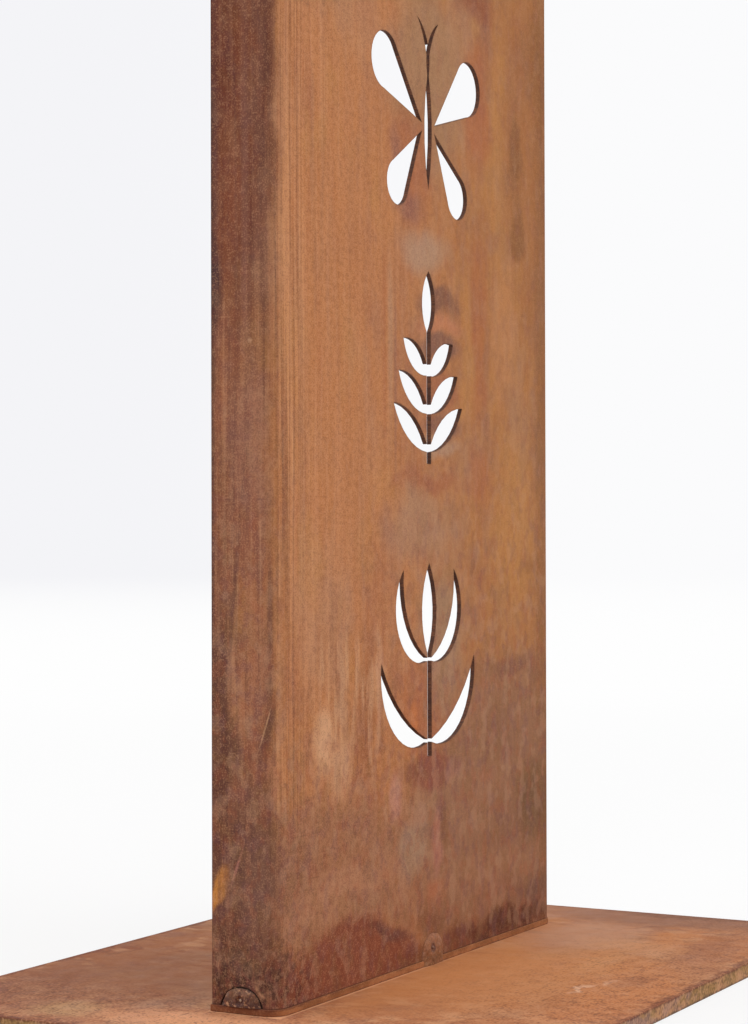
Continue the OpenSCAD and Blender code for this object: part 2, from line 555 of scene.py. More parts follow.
    def finish(
        self,
        colour: Feed,
        rough: Feed,
        normal: bpy.types.NodeSocket,
        metallic: float = 0.0,
        specular: float = 0.15,
    ) -> bpy.types.Material:
        """Close the tree with a surface shader.

        Args:
            colour: The base colour.
            rough: The roughness.
            normal: The bumpy normal.
            metallic: How metallic the surface is.
            specular: The level of its gloss.

        Returns:
            The finished material.
        """
        shader = self.add("BsdfPrincipled")
        shader.inputs["Metallic"].default_value = metallic
        shader.inputs["Specular IOR Level"].default_value = specular
        self.feed(shader.inputs["Base Color"], colour)
        self.feed(shader.inputs["Roughness"], rough)
        self.feed(shader.inputs["Normal"], normal)
        self.feed(self.add("OutputMaterial").inputs["Surface"], shader.outputs[0])
        return self.owner


@dataclass(frozen=True)
class Ease:
    """A level that eases from one value to another between two places along an axis."""

    start: float
    end: float
    at_start: float = 0.0
    at_end: float = 1.0

    def level(self, recipe: Recipe, place: bpy.types.NodeSocket) -> bpy.types.NodeSocket:
        """Find the level at a place.

        Args:
            recipe: The finish that it belongs to.
            place: The place along the axis.

        Returns:
            The level.
        """
        return recipe.between(place, self.start, self.end, self.at_start, self.at_end)


@dataclass(frozen=True)
class Region:
    """A part of the sheet with soft borders: its levels across and up, multiplied."""

    across: tuple[Ease, ...]
    up: tuple[Ease, ...] = ()

    def share(
        self, recipe: Recipe, across: bpy.types.NodeSocket, height: bpy.types.NodeSocket
    ) -> bpy.types.NodeSocket:
        """Find how far a place belongs to the region.

        Args:
            recipe: The finish that it belongs to.
            across: The distance from the sheet's middle line.
            height: The height above the ground.

        Returns:
            1 inside the region, easing to 0 outside it.
        """
        levels = [ease.level(recipe, across) for ease in self.across]
        levels += [ease.level(recipe, height) for ease in self.up]
        return functools.reduce(lambda one, other: recipe.math("MULTIPLY", one, other), levels)


@dataclass(frozen=True)
class Stain:
    """One cloud, streak or scuff of another colour, on flat coordinates in millimetres."""

    at: tuple[float, float]
    reach: tuple[float, float]
    colour: Colour
    share: float = 0.6
    soft: float = 0.6
    lean: float = 0.0

    def lay(self, recipe: Recipe, ragged: bpy.types.NodeSocket, under: Feed) -> bpy.types.NodeSocket:
        """Lay the stain over what is there.

        Args:
            recipe: The finish that it belongs to.
            ragged: The flat coordinates, shaken so that the stain's rim is uneven.
            under: The colour under it.

        Returns:
            The colour with the stain.
        """
        if self.lean:
            node = recipe.add("Mapping", vector_type="TEXTURE")
            recipe.feed(node.inputs["Vector"], ragged)
            node.inputs["Location"].default_value = (*self.at, 0.0)
            node.inputs["Rotation"].default_value = (0.0, 0.0, -math.radians(self.lean))
            node.inputs["Scale"].default_value = (*self.reach, 1.0)
            local = node.outputs[0]
        else:
            shrink = (1 / self.reach[0], 1 / self.reach[1], 0.0)
            shift = (-self.at[0] * shrink[0], -self.at[1] * shrink[1], 0.0)
            local = recipe.vector("MULTIPLY_ADD", ragged, shrink, shift)
        away = recipe.vector("LENGTH", local)
        share = recipe.between(away, 1 + self.soft / 2, 1 - self.soft, 0.0, self.share)
        return recipe.mix(share, under, self.colour)


@dataclass(frozen=True)
class Wash:
    """A colour that comes and goes all over a surface in clouds or streaks."""

    colour: Colour
    size: tuple[float, float, float]
    share: float
    low: float = 0.5
    high: float = 0.65
    detail: float = 3.0
    rough: float = 0.55

    def lay(
        self,
        recipe: Recipe,
        place: bpy.types.NodeSocket,
        seed: float,
        under: Feed,
        flat: bool,
        where: Feed | None = None,
    ) -> bpy.types.NodeSocket:
        """Lay the wash over what is there.

        Args:
            recipe: The finish that it belongs to.
            place: The coordinates that it follows.
            seed: A number that tells its noise from the others.
            under: The colour under it.
            flat: Whether the coordinates are flat.
            where: 1 where the wash is full and 0 where there is none; everywhere if left out.

        Returns:
            The colour with the wash.
        """
        cloud = recipe.noise(place, self.size, seed, self.detail, self.rough, flat)
        share = recipe.between(cloud, self.low, self.high, 0.0, self.share)
        if where is not None:
            share = recipe.math("MULTIPLY", share, where)
        return recipe.mix(share, under, self.colour)


# Rust colours by a maker's plain words
ORANGE = paint(180, 117, 72)
BRIGHT_ORANGE = paint(192, 112, 60)
BURNT_ORANGE = paint(164, 95, 60)
GOLD = paint(180, 124, 70)
OLIVE = paint(163, 108, 64)
DARK_OLIVE = paint(126, 82, 48)
TAN = paint(164, 123, 94)
GREY_TAN = paint(170, 134, 108)
STONE = paint(150, 120, 94)
PALE = paint(204, 154, 116)
PINK = paint(176, 116, 100)
EARTH = paint(142, 100, 76)
UMBER = paint(112, 74, 60)
RED_BROWN = paint(152, 91, 64)
BRICK = paint(128, 68, 48)
DARK_BRICK = paint(102, 56, 40)
MAUVE = paint(128, 88, 78)
DARK_MAUVE = paint(96, 66, 62)
PLUM = paint(84, 52, 50)
SOOT = paint(58, 40, 35)
CREAM = paint(226, 182, 150)
PALE_GRAIN = paint(190, 140, 106)


@dataclass(frozen=True)
class TideMark:
    """Thin wavy lines, such as drying water leaves, along the levels of a cloud."""

    colour: Colour
    size: tuple[float, float, float]
    share: float
    lines: float = 5.0
    width: float = 0.12

    def lay(
        self, recipe: Recipe, place: bpy.types.NodeSocket, seed: float, under: Feed, flat: bool
    ) -> bpy.types.NodeSocket:
        """Lay the lines over what is there.

        Args:
            recipe: The finish that they belong to.
            place: The coordinates that they follow.
            seed: A number that tells their noise from the others.
            under: The colour under them.
            flat: Whether the coordinates are flat.

        Returns:
            The colour with the lines.
        """
        cloud = recipe.noise(place, self.size, seed, 4.0, 0.55, flat)
        step = recipe.math("FRACT", recipe.math("MULTIPLY", cloud, self.lines))
        away = recipe.math("ABSOLUTE", recipe.math("SUBTRACT", step, 0.5))
        line = recipe.between(away, self.width, 0.0, 0.0, self.share)
        reach = tuple(1.7 * part for part in self.size)
        here = recipe.between(recipe.noise(place, reach, seed + 0.5, 2.0, 0.5, flat), 0.46, 0.6)
        return recipe.mix(recipe.math("MULTIPLY", line, here), under, self.colour)


def shaken(
    recipe: Recipe,
    flat: bpy.types.NodeSocket,
    size: tuple[float, float, float] | float,
    seed: float,
    rough: float,
    reach: tuple[float, float, float],
) -> bpy.types.NodeSocket:
    """Shake flat coordinates, so that what is drawn on them has uneven rims.

    Args:
        recipe: The finish.
        flat: The coordinates.
        size: The size of the waves.
        seed: A number that tells this noise from the others.
        rough: How strong the finer waves are.
        reach: How far the waves reach along each axis.

    Returns:
        The shaken coordinates.
    """
    cloud = recipe.noise(flat, size, seed, 4, rough, True, True)
    shake = recipe.vector("SUBTRACT", cloud, (0.5, 0.5, 0.5))
    return recipe.vector("ADD", flat, recipe.vector("MULTIPLY", shake, reach))


@dataclass(frozen=True)
class Coat:
    """Washes that are laid over each other, each with a seed of its own."""

    first_seed: int
    washes: tuple[Wash | TideMark, ...]

    def lay(
        self, recipe: Recipe, place: bpy.types.NodeSocket, under: Feed, flat: bool, *where: Feed
    ) -> bpy.types.NodeSocket:
        """Lay the washes over what is there.

        Args:
            recipe: The finish that they belong to.
            place: The coordinates that they follow.
            under: The colour under them.
            flat: Whether the coordinates are flat.
            where: 1 where the washes are full and 0 where there are none; everywhere if left out.

        Returns:
            The colour with the washes.
        """
        for seed, wash in enumerate(self.washes, start=self.first_seed):
            under = wash.lay(recipe, place, seed, under, flat, *where)
        return under


def speckle(
    recipe: Recipe,
    place: bpy.types.NodeSocket,
    seed: float,
    under: Feed,
    share: Feed,
    flat: bool,
    size: float = 0.5,
) -> bpy.types.NodeSocket:
    """Sprinkle fine dark and pale grains over a colour.

    Args:
        recipe: The finish that they belong to.
        place: The coordinates that they follow.
        seed: A number that tells their noise from the others.
        under: The colour under them.
        share: How strong they are.
        flat: Whether the coordinates are flat.
        size: The size of a grain.

    Returns:
        The colour with the grains.
    """
    grain = recipe.noise(place, size, seed, 1.0, 0.6, flat)
    clump = recipe.noise(place, 3.8 * size, seed + 0.5, 2.0, 0.6, flat)
    both = recipe.math("MULTIPLY_ADD", clump, 0.4, recipe.math("MULTIPLY", grain, 0.6))
    dark = recipe.between(both, 0.53, 0.33)
    pale = recipe.between(both, 0.49, 0.67)
    colour = recipe.mix(recipe.math("MULTIPLY", dark, share), under, PLUM)
    return recipe.mix(recipe.math("MULTIPLY", pale, share), colour, PALE_GRAIN)


# The sheet's coats, from the long clouds all over it to the grime in its lowest corner
SHEET_CLOUDS = Coat(
    2,
    (
        Wash(GREY_TAN, (32, 60, 1), 0.30, 0.5, 0.72),
        Wash(RED_BROWN, (26, 70, 1), 0.40, 0.5, 0.72),
        Wash(GOLD, (22, 34, 1), 0.40, 0.52, 0.70),
        Wash(MAUVE, (20, 44, 1), 0.30, 0.56, 0.74, 5.0, 0.6),
        TideMark(UMBER, (34, 44, 1), 0.22),
    ),
)
SHEET_PATCHES = Coat(9, (Wash(EARTH, (15, 19, 1), 0.40, 0.50, 0.64, 3.0, 0.5),))
SHEET_STROKES = Coat(
    10,
    (
        Wash(EARTH, (6, 80, 1), 0.36, 0.5, 0.72),
        Wash(BURNT_ORANGE, (2.4, 80, 1), 0.34, 0.5, 0.72),
        Wash(PALE, (1.5, 50, 1), 0.24, 0.54, 0.72),
        Wash(paint(206, 144, 100), (3.4, 110, 1), 0.28, 0.50, 0.68, 3.0),
    ),
)
SHEET_COMBED = Coat(
    26,
    (
        Wash(paint(120, 74, 50), (1.5, 150, 1), 0.46, 0.48, 0.62, 2.0),
        Wash(paint(210, 150, 104), (1.1, 120, 1), 0.38, 0.50, 0.62, 2.0),
    ),
)
SHEET_DRIPS = Coat(
    28,
    (
        Wash(paint(144, 90, 56), (5.0, 44, 1), 0.45, 0.48, 0.64),
        Wash(paint(208, 160, 120), (3.8, 26, 1), 0.50, 0.48, 0.70),
    ),
)
SHEET_ROLLED = Coat(
    32,
    (
        Wash(paint(88, 50, 42), (1.9, 70, 1), 0.34, 0.5, 0.68),
        Wash(paint(158, 104, 76), (1.6, 50, 1), 0.26, 0.52, 0.7),
    ),
)
SHEET_MOTTLES = Coat(
    16,
    (
        Wash(paint(112, 72, 74), (5, 7, 1), 0.30, 0.50, 0.64, 3.0),
        Wash(paint(132, 92, 56), (7, 9, 1), 0.28, 0.50, 0.64, 3.0),
        Wash(paint(156, 84, 56), (4, 6, 1), 0.24, 0.52, 0.64, 3.0),
        Wash(paint(184, 140, 110), (6, 9, 1), 0.24, 0.52, 0.66, 3.0),
    ),
)
SHEET_GRIME = Coat(
    22,
    (
        Wash(SOOT, (3.2, 4, 1), 0.65, 0.50, 0.62, 3.0),
        Wash(paint(172, 130, 104), (2.0, 2.2, 1), 0.40, 0.53, 0.66, 3.0),
        Wash(paint(126, 68, 60), (2.8, 3.4, 1), 0.40, 0.53, 0.66, 3.0),
    ),
)


@dataclass(frozen=True)
class SheetPatina:
    """The weathered outer face of the folded sheet, followed round the folds. Lengths are in millimetres.

    The regions and eases say where the coats lie: brushed strokes, combed ones beside the fold, wiped drips,
    damp grime, and how thick the patches, mottles and grain are from place to place.
    """

    name: str
    half_width: float
    front: float
    stains: tuple[Stain, ...] = ()
    flange_colour: Colour = paint(134, 82, 58)
    fine_reach: float = 2.5
    brushed: Region = Region((Ease(-84, -50, 1.0, 0.5), Ease(-10, 25, 1.0, 0.4)))
    beside_fold: Region = Region((Ease(-76, -86), Ease(-98, -93)))
    wiped: Region = Region((Ease(-76, -66), Ease(-26, -34)), (Ease(62, 76), Ease(122, 106)))
    damp: Region = Region((Ease(-66, -92),), (Ease(40, 10),))
    patchy: Ease = Ease(-40, 40, 0.15, 1.0)
    mottled_low: Ease = Ease(80, 210, 1.0, 0.4)
    sparse_left: Ease = Ease(-50, 5, 0.3, 1.0)
    sparse_up: Ease = Ease(100, 70)
    grain: Ease = Ease(-60, 30, 0.34, 0.17)
    flange_grain: float = -0.04

    def unroll(self, recipe: Recipe) -> tuple[bpy.types.NodeSocket, ...]:
        """Find where a point lies on the sheet before it was folded.

        Args:
            recipe: The finish.

        Returns:
            The distance across from the middle line, and the height.
        """
        x, y, z = recipe.parts(recipe.place)
        behind = recipe.math("SUBTRACT", y, self.front)
        side = recipe.math("SIGN", x)
        return recipe.math("MULTIPLY_ADD", behind, side, x), z

    def ground(self, recipe: Recipe, across: bpy.types.NodeSocket) -> bpy.types.NodeSocket:
        """Lay the first colour: orange on the left, olive on the right, brown on the flanges.

        Args:
            recipe: The finish.
            across: The distance from the middle line.

        Returns:
            The colour.
        """
        colour = recipe.mix(recipe.between(across, -50, 60), ORANGE, OLIVE)
        away = recipe.math("ABSOLUTE", across)
        flange = recipe.between(away, self.half_width - 1.5, self.half_width + 4)
        return recipe.mix(flange, colour, self.flange_colour)

    def mark(self, recipe: Recipe, flat: bpy.types.NodeSocket, under: Feed) -> bpy.types.NodeSocket:
        """Lay the single marks, the large ones with ragged rims.

        Args:
            recipe: The finish.
            flat: The place on the unrolled sheet.
            under: The colour under them.

        Returns:
            The colour with the marks.
        """
        ragged = shaken(recipe, flat, (22, 24, 1), 1, 0.5, (12.0, 14.0, 0.0))
        for stain in self.stains:
            under = stain.lay(recipe, flat if min(stain.reach) < self.fine_reach else ragged, under)
        return under

    def mottling(
        self,
        recipe: Recipe,
        across: bpy.types.NodeSocket,
        height: bpy.types.NodeSocket,
        on_flange: bpy.types.NodeSocket,
    ) -> bpy.types.NodeSocket:
        """Find where the mottles lie: low down and on the flanges, and few on the upper left of the front.

        Args:
            recipe: The finish.
            across: The distance from the middle line.
            height: The height above the ground.
            on_flange: 1 on the flanges.

        Returns:
            The mottles' share.
        """
        sparse = recipe.math(
            "MAXIMUM", self.sparse_left.level(recipe, across), self.sparse_up.level(recipe, height)
        )
        everywhere = self.mottled_low.level(recipe, height)
        return recipe.math("MULTIPLY", everywhere, recipe.math("MAXIMUM", sparse, on_flange))

    def build(self) -> bpy.types.Material:
        """Build the finish.

        Returns:
            The material.
        """
        recipe = Recipe.named(self.name)
        across, height = self.unroll(recipe)
        flat = recipe.flat(across, height)
        away = recipe.math("ABSOLUTE", across)
        on_flange = recipe.between(away, self.half_width - 12, self.half_width + 2)
        colour = self.ground(recipe, across)
        colour = SHEET_CLOUDS.lay(recipe, flat, colour, True)
        colour = SHEET_PATCHES.lay(recipe, flat, colour, True, self.patchy.level(recipe, across))
        colour = SHEET_STROKES.lay(recipe, flat, colour, True, self.brushed.share(recipe, across, height))
        colour = SHEET_COMBED.lay(recipe, flat, colour, True, self.beside_fold.share(recipe, across, height))
        colour = self.mark(recipe, flat, colour)
        colour = SHEET_DRIPS.lay(recipe, flat, colour, True, self.wiped.share(recipe, across, height))
        colour = SHEET_ROLLED.lay(recipe, flat, colour, True, on_flange)
        mottled = self.mottling(recipe, across, height, on_flange)
        colour = SHEET_MOTTLES.lay(recipe, flat, colour, True, mottled)
        colour = SHEET_GRIME.lay(recipe, flat, colour, True, self.damp.share(recipe, across, height))
        grain = recipe.math("MULTIPLY_ADD", on_flange, self.flange_grain, self.grain.level(recipe, across))
        colour = speckle(recipe, flat, 20, colour, grain, True)
        # Painted shade: the sheet darkens towards every edge, cut openings included
        colour = recipe.mix(recipe.math("MULTIPLY", recipe.edge_shade(0.9), 0.6), colour, SOOT)
        rough = recipe.between(recipe.noise(flat, (5, 30, 1), 30, 3, 0.6, True), 0.3, 0.7, 0.74, 0.92)
        normal = recipe.relief(recipe.noise(flat, (0.5, 0.7, 1), 31, 3, 0.6, True), 0.06)
        return recipe.finish(colour, rough, normal)


INNER_COAT = Coat(
    40,
    (
        Wash(ORANGE, (40, 40, 70), 0.7, 0.45, 0.68),
        Wash(MAUVE, (24, 24, 60), 0.50, 0.5, 0.70),
        Wash(GREY_TAN, (20, 20, 30), 0.40, 0.54, 0.70),
        Wash(EARTH, (6, 6, 80), 0.50, 0.48, 0.70),
        Wash(RED_BROWN, (2.6, 2.6, 70), 0.40, 0.5, 0.70),
        Wash(BRICK, (12, 12, 16), 0.50, 0.58, 0.72),
        TideMark(UMBER, (30, 30, 44), 0.35),
    ),
)


@dataclass(frozen=True)
class InnerPatina:
    """The plainer rust on the inside of the channel, with long runs down it."""

    name: str

    def build(self) -> bpy.types.Material:
        """Build the finish.

        Returns:
            The material.
        """
        recipe = Recipe.named(self.name)
        colour = INNER_COAT.lay(recipe, recipe.place, EARTH, False)
        colour = speckle(recipe, recipe.place, 50, colour, 0.26, False)
        rough = recipe.between(recipe.noise(recipe.place, 8.0, 51, 3), 0.3, 0.7, 0.68, 0.9)
        normal = recipe.relief(recipe.noise(recipe.place, 0.6, 52, 3, 0.6), 0.07)
        return recipe.finish(colour, rough, normal)


@dataclass(frozen=True)
class CutEdge:
    """A laser-cut or sheared edge: dark, with fine drag lines across the sheet."""

    name: str
    dark: Colour = paint(84, 54, 42)
    light: Colour = paint(112, 70, 50)

    def build(self) -> bpy.types.Material:
        """Build the finish.

        Returns:
            The material.
        """
        recipe = Recipe.named(self.name)
        drag = recipe.noise(recipe.place, (0.35, 6.0, 0.35), 60, 2, 0.6)
        patch = recipe.noise(recipe.place, 6.0, 61, 3, 0.6)
        colour = recipe.mix(recipe.between(patch, 0.4, 0.62), self.dark, self.light)
        colour = recipe.mix(recipe.between(drag, 0.55, 0.4, 0.0, 0.6), colour, SOOT)
        normal = recipe.relief(drag, 0.08)
        return recipe.finish(colour, 0.75, normal)


PLATE_COAT = Coat(
    74,
    (
        Wash(GREY_TAN, (30, 30, 20), 0.55, 0.48, 0.66, 3.0, 0.5),
        Wash(RED_BROWN, (24, 26, 20), 0.45, 0.52, 0.68, 3.0, 0.5),
        Wash(MAUVE, (16, 20, 12), 0.40, 0.53, 0.68, 3.0, 0.5),
        Wash(PALE, (10, 12, 8), 0.5, 0.52, 0.64, 3.0, 0.5),
        Wash(BRICK, (5, 12, 6), 0.40, 0.52, 0.66, 3.0, 0.5),
        TideMark(UMBER, (30, 34, 24), 0.40),
    ),
)


@dataclass(frozen=True)
class PlatePatina:
    """The mottled rust of the base plate and of its cut edges, with a painted highlight round the foot plate
    and painted shade along the plate's outline and arrises. Lengths are in millimetres.
    """

    name: str
    thickness: float
    half: tuple[float, float]
    foot_half: tuple[float, float]
    stains: tuple[Stain, ...] = ()
    left_colour: Colour = paint(164, 106, 74)
    right_colour: Colour = paint(190, 126, 82)
    back_colour: Colour = paint(146, 98, 74)
    edge_tan: Colour = paint(178, 130, 92)
    edge_olive: Colour = paint(148, 112, 68)
    edge_blush: Colour = paint(150, 116, 104)
    top_arris_shade: Colour = paint(108, 62, 46)
    bottom_arris_shade: Colour = paint(84, 70, 60)
    to_right: Ease = Ease(-120, 60)
    to_back: Ease = Ease(-10, 90, 0.0, 0.55)
    highlight_colour: Colour = paint(222, 162, 120)
    highlight_line: Ease = Ease(1.2, 0.4, 0.0, 0.75)
    highlight_fade: Ease = Ease(-30, 40, 1.0, 0.15)
    rim_shade_colour: Colour = paint(118, 68, 50)
    rim_shade_line: Ease = Ease(-2.8, -0.8, 0.0, 0.7)
    rim_shade_wave: Ease = Ease(0.3, 0.7, -1.2, 1.2)
    upright: Ease = Ease(0.75, 0.5)
    grain_front: Ease = Ease(-20, -88, 0.12, 0.62)
    grain_left: Ease = Ease(-60, -105, 0.12, 0.62)
    grain_fade: Ease = Ease(20, 100, 1.0, 0.5)

    def edge_colour(self, recipe: Recipe, height: bpy.types.NodeSocket) -> bpy.types.NodeSocket:
        """Colour the plate's edges: olive and tan, with painted shade at the rounded arrises, red at the top
        one and grey at the bottom one.

        Args:
            recipe: The finish.
            height: The height above the ground.

        Returns:
            The colour.
        """
        patch = recipe.noise(recipe.place, (15, 15, 6), 70, 2, 0.5)
        colour = recipe.mix(recipe.between(patch, 0.42, 0.6), self.edge_tan, self.edge_olive)
        blush = recipe.noise(recipe.place, (18, 18, 8), 71, 2, 0.5)
        colour = recipe.mix(recipe.between(blush, 0.50, 0.64, 0.0, 0.8), colour, self.edge_blush)
        wave = recipe.math("MULTIPLY_ADD", recipe.noise(recipe.place, 5.0, 72, 3), 1.2, -0.6)
        level = recipe.math("ADD", height, wave)
        # Painted shade: dark bands at the top and bottom arrises
        top = recipe.between(level, self.thickness - 1.1, self.thickness - 0.3, 0.0, 0.85)
        colour = recipe.mix(top, colour, self.top_arris_shade)
        return recipe.mix(recipe.between(level, 1.1, 0.3, 0.0, 0.85), colour, self.bottom_arris_shade)

    def build(self) -> bpy.types.Material:
        """Build the finish.

        Returns:
            The material.
        """
        recipe = Recipe.named(self.name)
        x, y, z = recipe.parts(recipe.place)
        flat = recipe.flat(x, y)
        colour = recipe.mix(self.to_right.level(recipe, x), self.left_colour, self.right_colour)
        colour = recipe.mix(self.to_back.level(recipe, y), colour, self.back_colour)
        colour = PLATE_COAT.lay(recipe, recipe.place, colour, False)
        ragged = shaken(recipe, flat, 7.0, 80, 0.6, (12.0, 12.0, 0.0))
        for stain in self.stains:
            colour = stain.lay(recipe, ragged, colour)
        # Painted highlight: a pale line round the foot plate
        colour = recipe.mix(self.foot_highlight(recipe, x, y), colour, self.highlight_colour)
        # Painted shade: an uneven dark line just inside the plate's outline
        colour = recipe.mix(self.rim(recipe, x, y), colour, self.rim_shade_colour)
        facing = recipe.parts(recipe.add("NewGeometry").outputs["True Normal"])[2]
        edges = self.upright.level(recipe, recipe.math("ABSOLUTE", facing))
        colour = recipe.mix(edges, colour, self.edge_colour(recipe, z))
        grain = recipe.math("MAXIMUM", self.grain_front.level(recipe, y), self.grain_left.level(recipe, x))
        grain = recipe.math("MULTIPLY", grain, self.grain_fade.level(recipe, x))
        colour = speckle(recipe, recipe.place, 81, colour, grain, False, 1.0)
        rough = recipe.between(recipe.noise(recipe.place, 6.0, 82, 3), 0.3, 0.7, 0.70, 0.90)
        normal = recipe.relief(recipe.noise(recipe.place, 0.7, 83, 3, 0.65), 0.08)
        return recipe.finish(colour, rough, normal)

    @staticmethod
    def past(
        recipe: Recipe, x: bpy.types.NodeSocket, y: bpy.types.NodeSocket, half: tuple[float, float]
    ) -> bpy.types.NodeSocket:
        """Find how far a place lies past a rectangle about the middle.

        Args:
            recipe: The finish.
            x, y: The place on the plate.
            half: Half of the rectangle's two sides.

        Returns:
            The distance, which is negative inside.
        """
        past_x = recipe.math("SUBTRACT", recipe.math("ABSOLUTE", x), half[0])
        past_y = recipe.math("SUBTRACT", recipe.math("ABSOLUTE", y), half[1])
        return recipe.math("MAXIMUM", past_x, past_y)

    def foot_highlight(
        self, recipe: Recipe, x: bpy.types.NodeSocket, y: bpy.types.NodeSocket
    ) -> bpy.types.NodeSocket:
        """Find the painted highlight: a pale line that runs round the foot plate.

        Args:
            recipe: The finish.
            x, y: The place on the plate.

        Returns:
            The line's share.
        """
        line = self.highlight_line.level(recipe, self.past(recipe, x, y, self.foot_half))
        return recipe.math("MULTIPLY", line, self.highlight_fade.level(recipe, x))

    def rim(self, recipe: Recipe, x: bpy.types.NodeSocket, y: bpy.types.NodeSocket) -> bpy.types.NodeSocket:
        """Find the painted shade: an uneven dark line just inside the plate's outline, along its top arris.

        Args:
            recipe: The finish.
            x, y: The place on the plate.

        Returns:
            The line's share.
        """
        past = self.past(recipe, x, y, self.half)
        wave = self.rim_shade_wave.level(recipe, recipe.noise(recipe.place, 9.0, 84, 3))
        return self.rim_shade_line.level(recipe, recipe.math("ADD", past, wave))


@dataclass(frozen=True)
class FootPatina:
    """The thin foot plate's edge: olive-brown, with painted shade in a dark line along its top under the panel
    and along its bottom on the base plate.
    """

    name: str
    low: float
    high: float
    light: Colour = paint(166, 106, 66)
    dark: Colour = paint(142, 88, 52)
    end_colour: Colour = paint(126, 74, 50)
    front_end: Ease = Ease(-92, -95, 0.0, 0.8)
    top_shade_fade: Ease = Ease(-85, -20, 1.0, 0.4)
    wave: Ease = Ease(0.3, 0.7, -0.3, 0.3)

    def build(self) -> bpy.types.Material:
        """Build the finish.

        Returns:
            The material.
        """
        recipe = Recipe.named(self.name)
        x, _, z = recipe.parts(recipe.place)
        patch = recipe.noise(recipe.place, (12, 12, 4), 90, 3, 0.5)
        colour = recipe.mix(recipe.between(patch, 0.42, 0.6), self.light, self.dark)
        colour = recipe.mix(self.front_end.level(recipe, x), colour, self.end_colour)
        level = recipe.math("ADD", z, self.wave.level(recipe, recipe.noise(recipe.place, 4.0, 93, 2)))
        # Painted shade: a dark line along the top, where the panel sits on the plate
        top_shade = recipe.between(level, self.high - 0.5, self.high - 0.1, 0.0, 0.65)
        top_shade = recipe.math("MULTIPLY", top_shade, self.top_shade_fade.level(recipe, x))
        colour = recipe.mix(top_shade, colour, DARK_BRICK)
        # Painted shade: darker along the bottom, where the plate sits on the base plate
        colour = recipe.mix(recipe.between(level, self.low + 0.4, self.low, 0.0, 0.6), colour, UMBER)
        colour = speckle(recipe, recipe.place, 91, colour, 0.24, False)
        normal = recipe.relief(recipe.noise(recipe.place, 0.7, 92, 3, 0.65), 0.08)
        return recipe.finish(colour, 0.78, normal)


@dataclass(frozen=True)
class WeldTone:
    """The colours of a weld from its crown down to its rim, and how sooty it is, which also sets how strong the
    painted highlight on its bead is.
    """

    crown: Colour
    skirt: Colour
    rim: Colour
    soot_and_glint: float


# The sooty weld's rim colour is sooty dark with painted shade in the groove round the weld
SOOTY_WELD = WeldTone(paint(108, 74, 54), paint(80, 50, 40), SOOT, 0.7)
RUSTY_WELD = WeldTone(paint(143, 91, 58), paint(128, 82, 48), paint(130, 80, 54), 0.15)


@dataclass(frozen=True)
class WeldSkin:
    """Dull weld metal with sooty patches and thin rust on it, painted shade in its crater, sooty dark and
    painted shade where a sooty weld meets the sheet, and a painted highlight on the bead in the crater. Lengths
    are in millimetres.
    """

    name: str
    tone: WeldTone
    outward: tuple[float, float, float]
    face: float
    eye: tuple[float, float, float]
    bead_colour: Colour = paint(204, 182, 160)

    def build(self) -> bpy.types.Material:
        """Build the finish.

        Returns:
            The material.
        """
        recipe = Recipe.named(self.name)
        _, _, z = recipe.parts(recipe.place)
        wave = recipe.noise(recipe.place, 2.6, 100, 3, 0.6)
        level = recipe.math("MULTIPLY_ADD", wave, 4.0, z)
        colour = recipe.mix(recipe.between(level, 9.0, 13.0), self.tone.skirt, self.tone.crown)
        rust = recipe.noise(recipe.place, 2.2, 101, 3, 0.6)
        colour = recipe.mix(recipe.between(rust, 0.52, 0.64, 0.0, 0.5), colour, RED_BROWN)
        colour = recipe.mix(recipe.between(rust, 0.47, 0.36, 0.0, self.tone.soot_and_glint), colour, PLUM)
        # Painted shade in the crater round the eye, and a painted highlight on the bead in it
        from_eye = recipe.vector("DISTANCE", recipe.place, self.eye)
        colour = recipe.mix(recipe.between(from_eye, 2.2, 1.0, 0.0, 0.75), colour, PLUM)
        bead = recipe.between(from_eye, 0.85, 0.6, 0.0, self.tone.soot_and_glint)
        colour = recipe.mix(bead, colour, self.bead_colour)
        ash = Wash(PALE, (1.4, 1.4, 1.2), self.tone.soot_and_glint, 0.54, 0.68)
        colour = ash.lay(recipe, recipe.place, 104, colour, False)
        colour = speckle(recipe, recipe.place, 102, colour, 0.3, False)
        # The rim where the weld meets the sheet: on a sooty weld, sooty dark with painted shade in the groove;
        # on a rusty one, a rust tone that blends into the sheet
        proud = recipe.math("SUBTRACT", recipe.vector("DOT_PRODUCT", recipe.place, self.outward), self.face)
        colour = recipe.mix(recipe.between(proud, 0.45, -0.1, 0.0, 0.85), colour, self.tone.rim)
        rough = recipe.between(wave, 0.35, 0.65, 0.5, 0.8)
        normal = recipe.relief(recipe.noise(recipe.place, 0.5, 103, 3, 0.6), 0.08)
        return recipe.finish(colour, rough, normal, specular=0.25)


@dataclass(frozen=True)
class ZincFinish:
    """Zinc plating gone dull, with rust where it is thin."""

    name: str
    light: Colour = paint(156, 148, 138)
    dark: Colour = paint(118, 110, 102)
    rust: Colour = paint(140, 84, 54)

    def build(self) -> bpy.types.Material:
        """Build the finish.

        Returns:
            The material.
        """
        recipe = Recipe.named(self.name)
        patch = recipe.noise(recipe.place, 2.5, 110, 4, 0.6)
        colour = recipe.mix(recipe.between(patch, 0.4, 0.62), self.light, self.dark)
        rust = recipe.noise(recipe.place, 3.0, 111, 4, 0.65)
        rusty = recipe.between(rust, 0.54, 0.64)
        colour = recipe.mix(recipe.math("MULTIPLY", rusty, 0.85), colour, self.rust)
        rough = recipe.math("MULTIPLY_ADD", rusty, 0.3, 0.42)
        normal = recipe.relief(recipe.noise(recipe.place, 0.4, 112, 3, 0.6), 0.03)
        return recipe.finish(colour, rough, normal, metallic=0.6, specular=0.5)


